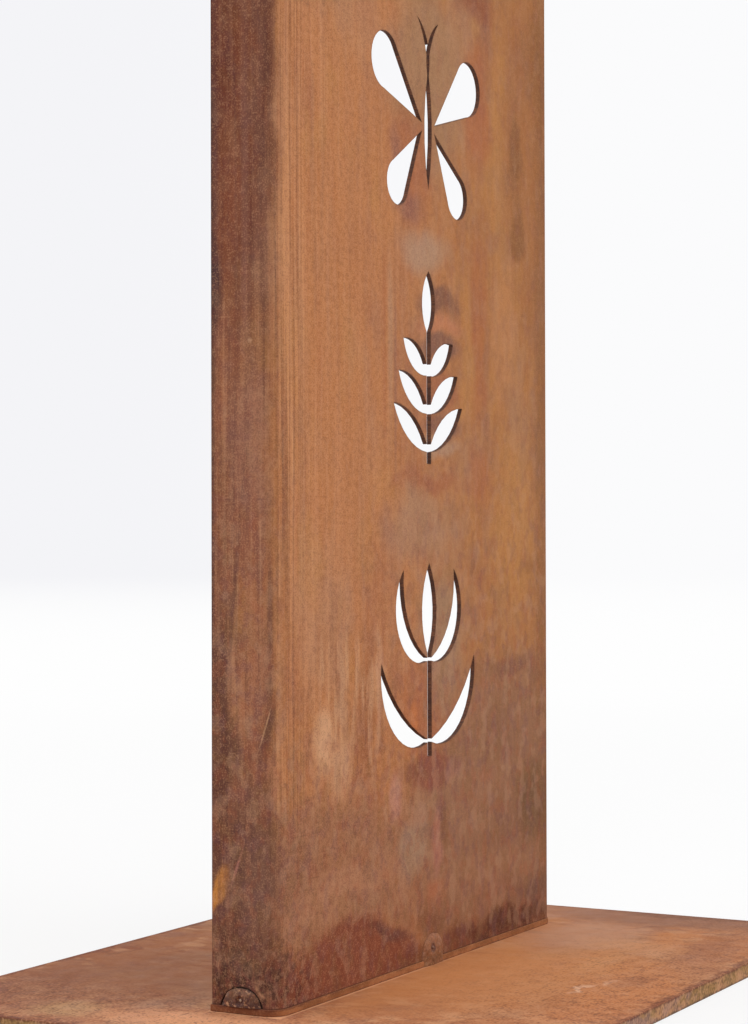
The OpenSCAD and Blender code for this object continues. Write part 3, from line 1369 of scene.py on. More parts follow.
# Single marks by their place across and up, in millimetres, the lowest layer first. A flange's
# places go on past the fold, so the left flange runs from -95 at the front to -117.5 at the back
FLANGE_STAINS = (
    Stain((-107.0, 290), (13, 96), paint(108, 56, 37), 0.92, 0.35),
    Stain((-100.8, 265), (3.2, 62), UMBER, 0.6, 0.8),
    Stain((-110.5, 238), (4.5, 44), paint(136, 75, 48), 0.45, 0.8),
    Stain((-105.8, 250), (1.6, 60), MAUVE, 0.4, 0.8),
    Stain((-116.6, 250), (1.9, 72), PLUM, 0.7, 0.7),
    Stain((-117.5, 190), (1.2, 180), paint(74, 48, 44), 0.8, 0.6),
    Stain((-114.0, 282), (5, 26), paint(96, 48, 33), 0.65, 0.7),
    Stain((-116.0, 215), (2.4, 12), paint(62, 40, 42), 0.85, 0.5),
    Stain((-104.3, 199.5), (0.8, 0.9), PALE, 0.8, 0.5),
    Stain((-105.0, 168), (6, 26), MAUVE, 0.45, 0.8),
    Stain((-96.5, 155), (2.6, 44), ORANGE, 0.5, 0.8),
    Stain((-109.4, 130), (0.9, 27), paint(100, 60, 50), 0.75, 0.8, 5.5),
    Stain((-97.4, 116), (1.4, 26), UMBER, 0.7, 0.8),
    Stain((-103.2, 110), (5, 28), paint(164, 106, 76), 0.6, 0.7),
    Stain((-101.5, 170), (4, 22), paint(186, 130, 98), 0.4, 0.8),
    Stain((-114.5, 142), (4, 34), paint(96, 60, 48), 0.32, 0.8),
    Stain((-114.2, 86), (5.2, 34), paint(92, 56, 43), 0.85, 0.4, 2),
    Stain((-107.5, 93), (4, 11), paint(190, 126, 86), 0.45, 0.8),
    # Painted shade beside the scratch whose pale line follows
    Stain((-98.0, 88), (1.6, 10), PLUM, 0.7, 0.7, 20),
    Stain((-99.3, 87.5), (0.35, 7), PALE, 0.7, 0.7, 20),
    Stain((-96.8, 71), (2.8, 10), paint(188, 126, 94), 0.7, 0.7),
    Stain((-106.0, 40), (15, 34), paint(104, 64, 50), 0.7, 0.7),
    Stain((-101.5, 42), (7.5, 18), DARK_MAUVE, 0.7, 0.7),
    Stain((-104.0, 58), (9, 14), UMBER, 0.5, 0.7),
    Stain((-111.0, 46), (8, 20), paint(70, 42, 36), 0.55, 0.8),
    Stain((-104.0, 12), (18, 20), paint(82, 50, 42), 0.9, 0.6),
    Stain((-103.0, 26), (7, 6), paint(118, 76, 60), 0.5, 0.7),
    Stain((-104.0, 8), (13, 9), paint(66, 44, 38), 0.7, 0.6),
    # Painted highlight: a pale crescent on the raised rim beside the left weld
    Stain((-101.4, 11.8), (0.8, 3.4), PALE, 0.7, 0.7, -45),
    Stain((-97.5, 9.5), (1.8, 2.6), SOOT, 0.6, 0.7),
    Stain((-94.0, 18), (2.0, 5.0), DARK_MAUVE, 0.6, 0.7),
    Stain((-114.0, 54), (2.8, 6), DARK_BRICK, 0.7, 0.7),
    Stain((-114.2, 40), (2.8, 7.5), paint(200, 130, 58), 0.9, 0.4, 24),
    Stain((-109.0, 47), (0.5, 7), PINK, 0.8, 0.7, 20),
    Stain((-105.0, 19), (8, 4), STONE, 0.35, 0.8),
)

FRONT_STAINS = (
    Stain((-62, 42), (48, 25), EARTH, 0.62, 0.35),
    Stain((50, 52), (64, 50), paint(140, 98, 72), 0.85, 0.3),
    Stain((0, 40), (40, 30), paint(150, 107, 80), 0.6, 0.6),
    Stain((66, 97), (34, 4.5), UMBER, 0.42, 0.7),
    Stain((34, 88), (16, 12), paint(152, 104, 74), 0.5, 0.6),
    Stain((52, 74), (18, 9), paint(128, 88, 66), 0.45, 0.6, 30),
    Stain((40, 58), (20, 8), paint(156, 108, 80), 0.5, 0.6, -15),
    Stain((79, 50), (15, 15), paint(104, 74, 48), 0.75, 0.5),
    Stain((62, 40), (14, 9), paint(130, 88, 66), 0.45, 0.6),
    Stain((44, 30), (44, 8), paint(160, 112, 82), 0.65, 0.6),
    Stain((6, 27), (6, 4.5), paint(178, 106, 72), 0.6, 0.7),
    Stain((62, 22), (12, 5), paint(134, 86, 66), 0.5, 0.7),
    Stain((-91, 46), (15, 18), UMBER, 0.28, 0.8),
    Stain((-60, 36), (38, 8.5), paint(178, 126, 94), 0.65, 0.7, -10),
    Stain((-24, 36), (16, 6), paint(172, 118, 84), 0.5, 0.7, 10),
    Stain((-67, 82), (7.5, 9), paint(210, 160, 120), 0.85, 0.6),
    Stain((-57, 75), (6, 10), paint(192, 146, 112), 0.75, 0.7),
    Stain((-56.5, 96), (2.8, 14), paint(186, 138, 102), 0.85, 0.5),
    Stain((-43.5, 85), (5.5, 21), paint(148, 90, 56), 0.65, 0.5),
    Stain((-48.5, 100), (1.0, 8), PALE, 0.6, 0.8),
    Stain((-35, 94), (2.6, 22), paint(186, 134, 100), 0.85, 0.5),
    Stain((-11, 43), (11, 10), paint(162, 130, 104), 0.8, 0.4),
    Stain((-10, 53), (6, 6), paint(164, 122, 98), 0.6, 0.6),
    Stain((6, 43), (3.4, 11), paint(180, 118, 102), 0.6, 0.8),
    Stain((7, 60), (2.2, 12), paint(152, 102, 88), 0.6, 0.7),
    Stain((-24, 62), (4, 10), paint(190, 136, 116), 0.75, 0.6),
    Stain((2, 68), (18, 7), paint(132, 74, 58), 0.85, 0.45),
    Stain((17, 68), (8, 5), paint(136, 90, 82), 0.6, 0.6),
    Stain((11, 51), (2.6, 8), paint(124, 80, 54), 0.65, 0.6),
    Stain((-10, 70), (17, 4), BRICK, 0.45, 0.8),
    Stain((-1, 92), (20, 20), BURNT_ORANGE, 0.75, 0.6),
    Stain((-9, 82), (3, 8), BRIGHT_ORANGE, 0.7, 0.7),
    Stain((9, 110), (16, 26), STONE, 0.7, 0.5),
    Stain((-3, 146), (27, 12), TAN, 0.7, 0.6),
    Stain((-28, 147), (5, 9), MAUVE, 0.4, 0.8),
    Stain((0, 160), (28, 3.5), RED_BROWN, 0.6, 0.7),
    Stain((36, 163), (9, 10), BURNT_ORANGE, 0.5, 0.7),
    Stain((62, 145), (20, 38), GOLD, 0.65, 0.6),
    Stain((37, 131), (12, 6), paint(144, 90, 58), 0.5, 0.8),
    Stain((79, 134), (10, 4), DARK_OLIVE, 0.4, 0.8),
    Stain((-86, 10), (14, 13), UMBER, 0.75, 0.6),
    Stain((-52, 8), (44, 19), paint(126, 62, 42), 0.88, 0.22),
    Stain((-29, 20), (13, 3), PLUM, 0.65, 0.7, 14),
    Stain((38, 5), (70, 11), paint(108, 56, 38), 0.85, 0.4),
    Stain((84, 17), (14, 8), DARK_MAUVE, 0.6, 0.7),
    Stain((0, 288), (26, 34), paint(156, 116, 84), 0.85, 0.4),
    Stain((-12, 262), (16, 20), BURNT_ORANGE, 0.7, 0.6),
    Stain((-23, 264), (5, 8), MAUVE, 0.5, 0.8),
    Stain((35, 284), (10, 24), BURNT_ORANGE, 0.65, 0.6),
    Stain((34, 321), (14, 7), BRICK, 0.7, 0.6),
    Stain((52, 270), (8, 44), GOLD, 0.5, 0.8),
    Stain((78, 288), (24, 62), paint(154, 98, 58), 0.55, 0.6),
    Stain((66, 262), (7, 30), DARK_OLIVE, 0.35, 0.7),
    Stain((66, 276), (6, 9), DARK_OLIVE, 0.6, 0.4),
    Stain((67, 246), (8, 9), DARK_OLIVE, 0.6, 0.4),
    Stain((80, 225), (12, 12), paint(150, 96, 60), 0.4, 0.6),
    Stain((56, 212), (11, 26), paint(186, 124, 74), 0.5, 0.6),
    Stain((69, 311), (7, 10), paint(146, 92, 58), 0.6, 0.5),
    Stain((84, 306), (12, 22), DARK_OLIVE, 0.45, 0.6),
    Stain((-14, 248), (10, 5), MAUVE, 0.6, 0.7),
    Stain((-3, 235), (18, 8), GREY_TAN, 0.8, 0.6),
    Stain((7, 218.5), (17, 4.5), paint(98, 68, 62), 0.65, 0.5),
    Stain((7, 211), (16, 3.5), paint(184, 118, 84), 0.7, 0.6),
    Stain((7, 204), (16, 4.5), paint(108, 76, 70), 0.7, 0.5),
    Stain((9, 190), (15, 8), RED_BROWN, 0.7, 0.5),
    Stain((10, 178), (16, 5), paint(112, 76, 70), 0.7, 0.5),
    Stain((6, 170.5), (16, 4), GREY_TAN, 0.75, 0.5),
    Stain((28, 200), (5, 30), GOLD, 0.6, 0.7),
    Stain((37, 212), (6, 36), paint(164, 94, 56), 0.5, 0.6),
    Stain((-26, 202), (2, 28), GREY_TAN, 0.5, 0.8),
    Stain((-23, 190), (1.2, 32), MAUVE, 0.5, 0.8),
    Stain((-30, 200), (1.2, 38), BURNT_ORANGE, 0.5, 0.8),
    # Painted shade: the right fold darkened where it turns away from the light
    Stain((90, 190), (9, 280), DARK_OLIVE, 0.58, 0.7),
    Stain((2, 19), (13, 5), paint(122, 76, 54), 0.7, 0.6),
    Stain((62, 11), (40, 4), paint(84, 44, 28), 0.75, 0.5),
    Stain((44, 21), (16, 5), paint(156, 104, 78), 0.6, 0.6),
    Stain((1.5, 8), (11, 6), paint(122, 80, 48), 0.8, 0.6),
)

# Marks on the base plate, by their place across and back
BASE_STAINS = (
    Stain((-70, 60), (62, 34), paint(152, 102, 74), 0.7, 0.6),
    Stain((-84, 82), (34, 16), paint(138, 90, 68), 0.5, 0.6),
    Stain((-112, 50), (12, 13), paint(184, 146, 104), 0.6, 0.6),
    # A pale patch at the left of the plate: its own lighter rust, lifted further as painted light where the
    # panel's shadow falls
    Stain((-112, 0), (16, 44), paint(222, 158, 116), 0.8, 0.7),
    Stain((0, -50), (84, 40), paint(202, 138, 88), 0.7, 0.7),
    Stain((-10, -84), (60, 18), paint(198, 130, 82), 0.65, 0.7),
    # An orange band in front of the foot: the plate's own lighter rust, lifted further as painted light against
    # the panel's shade
    Stain((-10, -22), (90, 12), paint(194, 128, 78), 0.7, 0.7),
    Stain((76, -32), (34, 22), paint(190, 142, 114), 0.7, 0.6),
    Stain((60, -60), (26, 12), paint(206, 152, 112), 0.5, 0.6, -70),
    Stain((70, -86), (44, 12), paint(176, 118, 84), 0.6, 0.6),
    Stain((70, -78), (26, 9), paint(150, 96, 68), 0.5, 0.7),
    Stain((-14, -70), (8, 1.6), CREAM, 0.8, 0.8),
    Stain((-2, -74), (5, 1.3), CREAM, 0.7, 0.8),
    Stain((-40, -72), (12, 6), paint(158, 102, 66), 0.5, 0.8),
    Stain((30, -58), (22, 6), paint(206, 150, 104), 0.5, 0.8),
    Stain((4, -80), (14, 6), paint(150, 100, 76), 0.5, 0.7),
    Stain((126, -44), (28, 64), paint(146, 104, 84), 0.85, 0.5),
    Stain((127, -46), (7, 26), paint(118, 78, 60), 0.6, 0.7),
    Stain((100, 60), (50, 60), paint(146, 102, 80), 0.9, 0.5),
    Stain((104, 2), (9, 12), paint(206, 158, 128), 0.5, 0.7),
)


class PanelFace(enum.IntEnum):
    """The finishes of the panel's faces, by their number on the piece."""

    OUTER = 0
    INNER = 1
    CUT = 2


@dataclass
class SignPanel:
    """The folded sheet with its row of cut ornaments.

    Rim is the skin of the sheet where no face counts as cut, and shear is the depth of its two ends. A
    face is cut where less than square_on of its normal goes through the sheet, and an end where over
    end_on of it goes up or down.
    """

    sheet: float = 1.5 * MM
    fold: float = 5.5 * MM
    edge: float = 0.12 * MM
    rim: float = 0.05 * MM
    shear: float = 0.2 * MM
    square_on: float = 0.95
    end_on: float = 0.3
    stains: tuple[Stain, ...] = FLANGE_STAINS + FRONT_STAINS

    def sort_faces(self, piece: bpy.types.Object, low: Vector, high: Vector) -> None:
        """Give each face its finish: outer face, inner face or cut edge.

        Args:
            piece: The panel.
            low, high: The corners of its box.
        """
        for face in piece.data.polygons:
            at, normal = face.center, face.normal
            aside = abs(at.x)
            in_front = low.y + self.rim < at.y < low.y + self.sheet - self.rim and aside < high.x - self.fold
            side = high.x - self.sheet
            in_flange = side + self.rim < aside < high.x - self.rim and at.y > low.y + self.fold
            cut_front = in_front and abs(normal.y) < self.square_on
            cut_flange = in_flange and abs(normal.x) < self.square_on
            at_end = at.z < low.z + self.shear or at.z > high.z - self.shear
            if cut_front or cut_flange or at_end and abs(normal.z) > self.end_on:
                face.material_index = PanelFace.CUT
            elif normal.y > normal.x * math.copysign(1, at.x):
                face.material_index = PanelFace.INNER
            else:
                face.material_index = PanelFace.OUTER

    def build(self, node: bpy.types.Object) -> bpy.types.Object:
        """Make the panel.

        Args:
            node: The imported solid.

        Returns:
            The panel.
        """
        low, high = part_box("sign_panel")
        piece = Shop.copy_node(node, "folded_panel")
        Shop.break_edges(piece, self.edge)
        outer = SheetPatina("panel_patina", high.x / MM, low.y / MM, self.stains)
        finishes = (outer, InnerPatina("inner_patina"), CutEdge("cut_edge"))
        Shop.dress(piece, *(finish.build() for finish in finishes))
        self.sort_faces(piece, low, high)
        Shop.hand_over(piece, "panel_steel", "sign_panel")
        return piece


class Side(enum.Enum):
    """The three faces that carry a weld, by the weld's node and the face's turn about Z from -Y."""

    LEFT = ("weld_left", -90.0)
    FRONT = ("weld_front", 0.0)
    RIGHT = ("weld_right", 90.0)

    @property
    def node(self) -> str:
        """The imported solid's name."""
        return self.value[0]

    @property
    def turn(self) -> Matrix:
        """The turn from a weld that faces -Y to this side."""
        return Matrix.Rotation(math.radians(self.value[1]), 4, "Z")


@dataclass
class TackWeld:
    """A low dome of weld metal in an arch-shaped notch, with a crater and a bead in it.

    The groove is the gap round the dome, and the crater's place is across the face and up from the ground.
    Ripples are the sizes and heights of the swells and lumps on the skin. The crater's depth and the bead's
    lift are shares of the crater's radius, and the plug's depth and middle are shares of the sheet.
    """

    side: Side
    groove: float = 0.7 * MM
    crater_at: tuple[float, float] = (0.0, 9.0 * MM)
    crater_depth: float = 0.6
    tone: WeldTone = SOOTY_WELD
    radius: float = 7.8 * MM
    sheet: float = 1.5 * MM
    rise: float = 1.2 * MM
    crater: float = 1.5 * MM
    bead: float = 0.5 * MM
    bead_lift: float = 0.1
    plug_gap: float = 0.5 * MM
    plug_depth: float = 0.7
    plug_middle: float = 0.65
    foot_gap: float = 0.02 * MM
    grain: float = 0.13 * MM
    ripples: tuple[tuple[float, float], ...] = ((5.0 * MM, 0.8 * MM), (2.2 * MM, 0.5 * MM))
    ripple_middle: float = 0.55

    def dome(self, name: str, level: float) -> bpy.types.Object:
        """Make the dome and the plug behind it, facing -Y, with the sheet's face at Y 0.

        Args:
            name: The piece's name.
            level: The height of the dome's middle.

        Returns:
            The rough weld.
        """
        inner = self.radius - self.groove
        Shop.deselect()
        bpy.ops.mesh.primitive_uv_sphere_add(segments=48, ring_count=24, radius=inner)
        weld = Shop.named(name)
        Shop.place(weld, Matrix.Translation((0, 0, level)) @ Matrix.Diagonal((1, self.rise / inner, 1, 1)))
        Shop.deselect()
        bpy.ops.mesh.primitive_cylinder_add(
            vertices=64, radius=self.radius - self.plug_gap, depth=self.plug_depth * self.sheet
        )
        plug = Shop.named("plug")
        turn = Matrix.Rotation(math.radians(90), 4, "X")
        Shop.place(plug, Matrix.Translation((0, self.plug_middle * self.sheet, level)) @ turn)
        Shop.combine(weld, plug, "UNION")
        return weld

    def add_crater(self, weld: bpy.types.Object, at: Vector) -> None:
        """Sink the crater and set its bead.

        Args:
            weld: The weld.
            at: The crater's middle.
        """
        Shop.deselect()
        bpy.ops.mesh.primitive_uv_sphere_add(segments=24, ring_count=12, radius=self.crater)
        hollow = Shop.named("hollow")
        Shop.place(hollow, Matrix.Translation(at) @ Matrix.Diagonal((1, self.crater_depth, 1, 1)))
        Shop.combine(weld, hollow, "DIFFERENCE")
        Shop.deselect()
        bpy.ops.mesh.primitive_ico_sphere_add(subdivisions=3, radius=self.bead)
        bead = Shop.named("bead")
        sunk = (self.crater_depth - self.bead_lift) * self.crater
        Shop.place(bead, Matrix.Translation(at + Vector((0, sunk, 0))))
        Shop.combine(weld, bead, "UNION")

    def cut_foot(self, weld: bpy.types.Object, level: float) -> None:
        """Cut the weld off flat.

        Args:
            weld: The weld.
            level: The height of the cut.
        """
        Shop.activate(weld)
        bpy.ops.object.mode_set(mode="EDIT")
        bpy.ops.mesh.select_all(action="SELECT")
        bpy.ops.mesh.bisect(
            plane_co=(0, 0, level),
            plane_no=(0, 0, 1),
            threshold=Shop.merge_reach,
            use_fill=True,
            clear_inner=True,
        )
        bpy.ops.object.mode_set(mode="OBJECT")

    def roughen(self, weld: bpy.types.Object) -> None:
        """Give the weld its swells and lumps.

        Args:
            weld: The weld.
        """
        Shop.modify(weld, "REMESH", mode="VOXEL", voxel_size=self.grain, use_smooth_shade=True)
        for size, height in self.ripples:
            cloud = bpy.data.textures.new("ripple", "CLOUDS")
            cloud.noise_scale = size
            cloud.noise_depth = 3
            lift = {"strength": height, "mid_level": self.ripple_middle}
            Shop.modify(weld, "DISPLACE", texture=cloud, texture_coords="LOCAL", **lift)
        Shop.modify(weld, "SMOOTH", factor=0.5, iterations=3)

    def build(self) -> bpy.types.Object:
        """Make the weld.

        Returns:
            The weld.
        """
        low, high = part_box(self.side.node)
        panel_low, panel_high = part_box("sign_panel")
        weld = self.dome(self.side.node + "_bead", high.z - self.radius)
        aside, up = self.crater_at
        eye = Vector((aside, -self.rise, up))
        self.add_crater(weld, eye)
        self.roughen(weld)
        self.cut_foot(weld, low.z + self.foot_gap)
        outward = self.side.turn @ Vector((0, -1, 0))
        middle = (low + high) / 2
        if self.side is Side.FRONT:
            face = Vector((middle.x, panel_low.y, 0))
        else:
            face = Vector((panel_high.x * outward.x, middle.y, 0))
        placed = Matrix.Translation(face) @ self.side.turn
        Shop.place(weld, placed)
        Shop.activate(weld)
        bpy.ops.object.shade_smooth()
        spot = tuple(part / MM for part in placed @ eye)
        skin = WeldSkin(self.side.node + "_skin", self.tone, tuple(outward), outward.dot(face) / MM, spot)
        Shop.dress(weld, skin.build())
        Shop.hand_over(weld, "weld_metal", self.side.node)
        return weld


@dataclass
class FootPlate:
    """The thin plate under the panel."""

    edge: float = 0.25 * MM

    def build(self, node: bpy.types.Object) -> bpy.types.Object:
        """Make the foot plate.

        Args:
            node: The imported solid.

        Returns:
            The foot plate.
        """
        low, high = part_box("foot_plate")
        piece = Shop.copy_node(node, "foot_strip")
        Shop.break_edges(piece, self.edge)
        Shop.dress(piece, FootPatina("foot_patina", low.z / MM, high.z / MM).build())
        Shop.hand_over(piece, "foot_steel", "foot_plate")
        return piece


@dataclass
class BasePlate:
    """The flat plate that the sign stands on."""

    edge: float = 0.4 * MM
    stains: tuple[Stain, ...] = BASE_STAINS

    def build(self, node: bpy.types.Object) -> bpy.types.Object:
        """Make the base plate.

        Args:
            node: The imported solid.

        Returns:
            The base plate.
        """
        _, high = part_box("base_plate")
        _, foot_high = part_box("foot_plate")
        piece = Shop.copy_node(node, "ground_plate")
        Shop.pick_edges(piece, lambda at: abs(at.x) > high.x - self.edge or abs(at.y) > high.y - self.edge)
        bpy.ops.mesh.bevel(offset=self.edge, segments=3, affect="EDGES")
        Shop.smooth(piece)
        half = (high.x / MM, high.y / MM)
        foot_half = (foot_high.x / MM, foot_high.y / MM)
        finish = PlatePatina("plate_patina", high.z / MM, half, foot_half, self.stains)
        Shop.dress(piece, finish.build())
        Shop.hand_over(piece, "base_steel", "base_plate")
        return piece


@dataclass
class Fasteners:
    """The two countersunk screws with their washers and nuts.

    The thread's depth and the two ends of its crest are shares of the pitch. Spare is how far a cutting tool
    goes past the piece, and lead_past is the same for the cone that widens a nut's bore.
    """

    thread: float = 6.0 * MM
    pitch: float = 1.0 * MM
    thread_depth: float = 0.6
    crest: tuple[float, float] = (0.44, 0.56)
    head_across: float = 12.0 * MM
    head_edge: float = 0.1 * MM
    neck: float = 0.3 * MM
    tip: float = 0.5 * MM
    tip_edge: float = 0.6 * MM
    socket_across: float = 4.0 * MM
    socket_deep: float = 2.7 * MM
    washer_across: float = 12.0 * MM
    washer_gap: float = 0.2 * MM
    washer_edge: float = 0.25 * MM
    nut_across: float = 10.0 * MM
    nut_edge: float = 0.6 * MM
    nut_gap: float = 0.03 * MM
    nut_lead: float = 0.5 * MM
    lead_past: float = 0.1 * MM
    spare: float = 0.3 * MM

    @staticmethod
    def corner(across: float) -> float:
        """Find how far a hexagon's corner lies from its middle.

        Args:
            across: The size across its flats.

        Returns:
            The distance.
        """
        return across / 2 / math.cos(math.radians(30))

    def threaded(self, low: float, high: float) -> list[tuple[float, float]]:
        """Trace the side of a thread.

        Args:
            low, high: The heights between which it runs.

        Returns:
            Points of radius and height.
        """
        outer = self.thread / 2
        root = outer - self.thread_depth * self.pitch
        turns = int((high - low) / self.pitch)
        points = []
        for turn in range(turns):
            start = low + turn * self.pitch
            points += [(root, start)]
            points += [(outer, start + share * self.pitch) for share in self.crest]
        return points + [(root, low + turns * self.pitch)]

    def screw(self) -> bpy.types.Object:
        """Make a screw, head down, on the Z axis.

        Returns:
            The screw.
        """
        low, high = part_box("base_screws")
        shank = self.thread / 2
        head = self.head_across / 2
        cone_top = low.z + head - shank
        profile = [(0, low.z), (head - self.head_edge, low.z)]
        profile += [(head, low.z + self.head_edge), (shank, cone_top)]
        profile += self.threaded(cone_top + self.neck, high.z - self.tip)
        profile += [(shank - self.tip_edge, high.z), (0, high.z)]
        screw = Shop.turned(profile, "screw_left")
        radius = self.corner(self.socket_across)
        Shop.deselect()
        bpy.ops.mesh.primitive_cylinder_add(
            vertices=6, radius=radius, depth=2 * self.socket_deep, location=(0, 0, low.z)
        )
        Shop.combine(screw, Shop.named("socket"), "DIFFERENCE")
        return screw

    def washer(self) -> bpy.types.Object:
        """Make a washer on the Z axis.

        Returns:
            The washer.
        """
        low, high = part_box("base_washers")
        outer = self.washer_across / 2
        inner = self.thread / 2 + self.washer_gap
        profile = [(inner, low.z), (outer, low.z), (outer, high.z - self.washer_edge)]
        profile += [(outer - self.washer_edge, high.z), (inner, high.z)]
        return Shop.turned(profile, "washer_left")

    def nut(self) -> bpy.types.Object:
        """Make a hexagon nut on the Z axis: a prism inside a cone, with a bore that widens at the top.

        Returns:
            The nut.
        """
        low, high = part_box("base_nuts")
        corner = self.corner(self.nut_across)
        Shop.deselect()
        bpy.ops.mesh.primitive_cylinder_add(
            vertices=6,
            radius=corner,
            depth=high.z - low.z,
            location=(0, 0, (low.z + high.z) / 2),
            rotation=(0, 0, math.radians(30)),
        )
        nut = Shop.named("nut_left")
        slant = (corner - self.nut_across / 2 + self.nut_edge / 2) / self.nut_edge
        wide = corner + self.spare
        below = low.z - self.spare
        above = high.z + self.spare
        profile = [(0, below), (wide, below), (wide, high.z - self.nut_edge - self.spare / slant)]
        profile += [(corner - slant * (self.nut_edge + self.spare), above), (0, above)]
        Shop.combine(nut, Shop.turned(profile, "cone"), "INTERSECT")
        bore = self.thread / 2 + self.nut_gap
        lead = bore + self.nut_lead
        lead_top = high.z + self.lead_past
        profile = [(0, below), (bore, below), (bore, lead_top - self.nut_lead), (lead, lead_top)]
        profile += [(lead, above), (0, above)]
        Shop.combine(nut, Shop.turned(profile, "bore"), "DIFFERENCE")
        return nut

    def build(self) -> None:
        """Make the left set and copy it for the right side."""
        zinc = ZincFinish("dull_zinc").build()
        low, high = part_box("base_screws")
        spacing = high.x - low.x - self.head_across
        makers = {"base_screws": self.screw, "base_washers": self.washer, "base_nuts": self.nut}
        for node, make in makers.items():
            left = make()
            Shop.smooth(left, 30)
            Shop.dress(left, zinc)
            right = Shop.copy(left, left.name.replace("left", "right"))
            Shop.place(left, Matrix.Translation((-spacing / 2, 0, 0)))
            Shop.place(right, Matrix.Translation((spacing / 2, 0, 0)))
            Shop.hand_over(left, "fastener_steel", node)
            Shop.hand_over(right, "fastener_steel", node)


@dataclass(frozen=True)
class Lamp:
    """A soft square lamp that looks at the sign."""

    name: str
    at: tuple[float, float, float]
    side: float
    watts: float
    colour: tuple[float, float, float] = (1.0, 1.0, 1.0)

    def hang(self, target: Vector) -> None:
        """Hang the lamp.

        Args:
            target: What it looks at.
        """
        data = bpy.data.lights.new(self.name, "AREA")
        data.size = self.side
        data.energy = self.watts
        data.color = self.colour
        lamp = bpy.data.objects.new(self.name, data)
        bpy.context.scene.collection.objects.link(lamp)
        lamp.location = self.at
        lamp.rotation_mode = "QUATERNION"
        lamp.rotation_quaternion = (target - Vector(self.at)).to_track_quat("-Z", "Y")


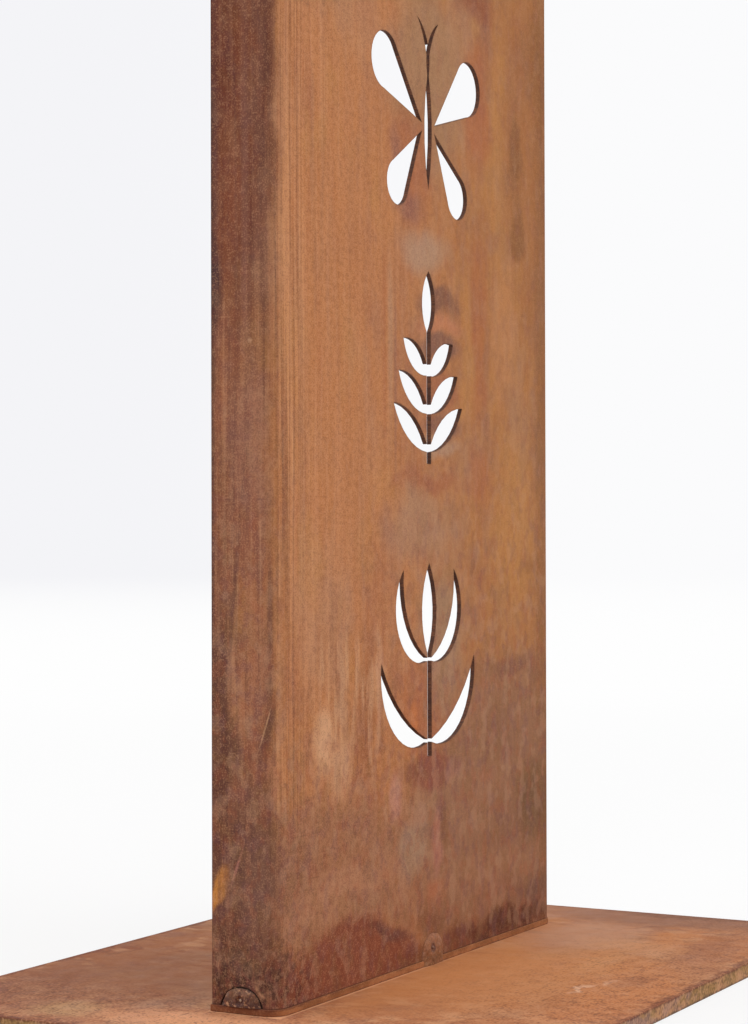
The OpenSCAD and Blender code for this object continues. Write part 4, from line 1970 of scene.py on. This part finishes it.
@dataclass
class Studio:
    """A pale floor in soft light, against white."""

    floor_half: float = 12.0
    shadow_reach: tuple[float, float] = (0.3, 1.4)
    fade: tuple[float, float] = (2.0, 8.0)
    bright_side: tuple[float, float, float] = (0.477, -0.879, 0.0)
    side_fade: Ease = Ease(-0.12, 0.10)
    grey_side: Colour = paint(244, 244, 247)
    white_side: Colour = paint(251, 251, 252)
    floor_grey: Colour = paint(238, 238, 238)
    floor_white: Colour = paint(254, 254, 254)
    shadow_white: float = 0.75
    ambient: float = 0.54
    target: tuple[float, float, float] = (0.0, 0.0, 0.3)
    lamps: tuple[Lamp, ...] = (
        Lamp("front_lamp", (0.6, -2.6, 0.3), 1.8, 36.0),
        Lamp("top_lamp", (-0.2, -0.3, 2.9), 2.0, 54.0),
        Lamp("back_lamp", (-1.6, 2.4, 1.2), 1.8, 38.0),
    )

    def distance(self, recipe: Recipe, way: bpy.types.NodeSocket) -> bpy.types.NodeSocket:
        """Colour the distance: a little grey on one side, nearly white on the other.

        Args:
            recipe: The tree that needs it.
            way: The direction that is looked in.

        Returns:
            The colour.
        """
        side = recipe.vector("DOT_PRODUCT", way, self.bright_side)
        return recipe.mix(self.side_fade.level(recipe, side), self.grey_side, self.white_side)

    def world(self) -> None:
        """Light the scene evenly, and show the camera the distance."""
        recipe = Recipe(bpy.data.worlds.new("studio"))
        bpy.context.scene.world = recipe.owner
        way = recipe.add("TexCoord").outputs["Generated"]
        glow = recipe.add("Background")
        glow.inputs["Strength"].default_value = self.ambient
        seen = recipe.add("Background")
        recipe.feed(seen.inputs["Color"], self.distance(recipe, way))
        choose = recipe.add("MixShader")
        recipe.feed(choose.inputs[0], self.mirrored(recipe))
        recipe.feed(choose.inputs[1], glow.outputs[0])
        recipe.feed(choose.inputs[2], seen.outputs[0])
        recipe.feed(recipe.add("OutputWorld").inputs["Surface"], choose.outputs[0])

    def mirrored(self, recipe: Recipe) -> bpy.types.NodeSocket:
        """Tell the rays that show the background from those that light the sign.

        Args:
            recipe: The tree that needs it.

        Returns:
            1 for the camera, mirrors and glass, otherwise 0.
        """
        ray = recipe.add("LightPath")
        bounced = recipe.math("MAXIMUM", ray.outputs["Is Glossy Ray"], ray.outputs["Is Transmission Ray"])
        return recipe.math("MAXIMUM", ray.outputs["Is Camera Ray"], bounced)

    def floor(self) -> None:
        """Lay the floor, which looks almost white but keeps the shadow."""
        Shop.deselect()
        bpy.ops.mesh.primitive_plane_add(size=2 * self.floor_half)
        floor = Shop.named("studio_floor")
        recipe = Recipe.named("pale_floor")
        away = recipe.vector("LENGTH", recipe.place)
        way = recipe.vector("NORMALIZE", recipe.place)
        far = recipe.between(away, self.fade[0] / MM, self.fade[1] / MM)
        plain = recipe.add("BsdfDiffuse")
        plain.inputs["Color"].default_value = self.floor_grey
        glow = recipe.add("Emission")
        recipe.feed(glow.inputs["Color"], recipe.mix(far, self.floor_white, self.distance(recipe, way)))
        near, wide = self.shadow_reach
        white = recipe.between(away, near / MM, wide / MM, self.shadow_white, 1.0)
        choose = recipe.add("MixShader")
        recipe.feed(choose.inputs[0], recipe.math("MULTIPLY", self.mirrored(recipe), white))
        recipe.feed(choose.inputs[1], plain.outputs[0])
        recipe.feed(choose.inputs[2], glow.outputs[0])
        recipe.feed(recipe.add("OutputMaterial").inputs["Surface"], choose.outputs[0])
        Shop.dress(floor, recipe.owner)

    def build(self) -> None:
        """Set up the floor, the world and the lamps."""
        self.world()
        self.floor()
        for lamp in self.lamps:
            lamp.hang(Vector(self.target))
        bpy.context.scene.view_settings.view_transform = "Standard"


@dataclass(frozen=True)
class Viewpoint:
    """The picture's viewpoint, found from the plates' edges. Angles are in degrees."""

    place: tuple[float, float, float] = (-0.6776, -0.3592, 0.1436)
    yaw: float = 28.516
    pitch: float = 0.52
    roll: float = -0.132
    lens: float = 83.19
    nearest: float = 0.01
    furthest: float = 100.0

    def build(self) -> None:
        """Set up the camera."""
        data = bpy.data.cameras.new("viewpoint")
        data.lens = self.lens
        data.clip_start = self.nearest
        data.clip_end = self.furthest
        camera = bpy.data.objects.new("viewpoint", data)
        bpy.context.scene.collection.objects.link(camera)
        yaw, pitch, roll = (math.radians(angle) for angle in (self.yaw, self.pitch, self.roll))
        ahead = Vector((math.cos(yaw) * math.cos(pitch), math.sin(yaw) * math.cos(pitch), math.sin(pitch)))
        level = Vector((math.sin(yaw), -math.cos(yaw), 0))
        upright = level.cross(ahead)
        right = level * math.cos(roll) + upright * math.sin(roll)
        up = upright * math.cos(roll) - level * math.sin(roll)
        turn = Matrix((right, up, -ahead)).transposed().to_4x4()
        camera.matrix_world = Matrix.Translation(self.place) @ turn
        bpy.context.scene.camera = camera


def main() -> None:
    """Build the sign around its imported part."""
    logging.basicConfig(level=logging.INFO, format="%(name)s: %(message)s")
    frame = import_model()
    nodes = frame["nodes"]
    Viewpoint().build()
    BasePlate().build(nodes["base_plate"])
    FootPlate().build(nodes["foot_plate"])
    SignPanel().build(nodes["sign_panel"])
    TackWeld(Side.LEFT).build()
    TackWeld(
        Side.FRONT,
        groove=0.2 * MM,
        crater_at=(-1.2 * MM, 10.6 * MM),
        crater_depth=0.4,
        tone=RUSTY_WELD,
    ).build()
    TackWeld(Side.RIGHT).build()
    Fasteners().build()
    Studio().build()


if __name__ == "__main__":
    main()
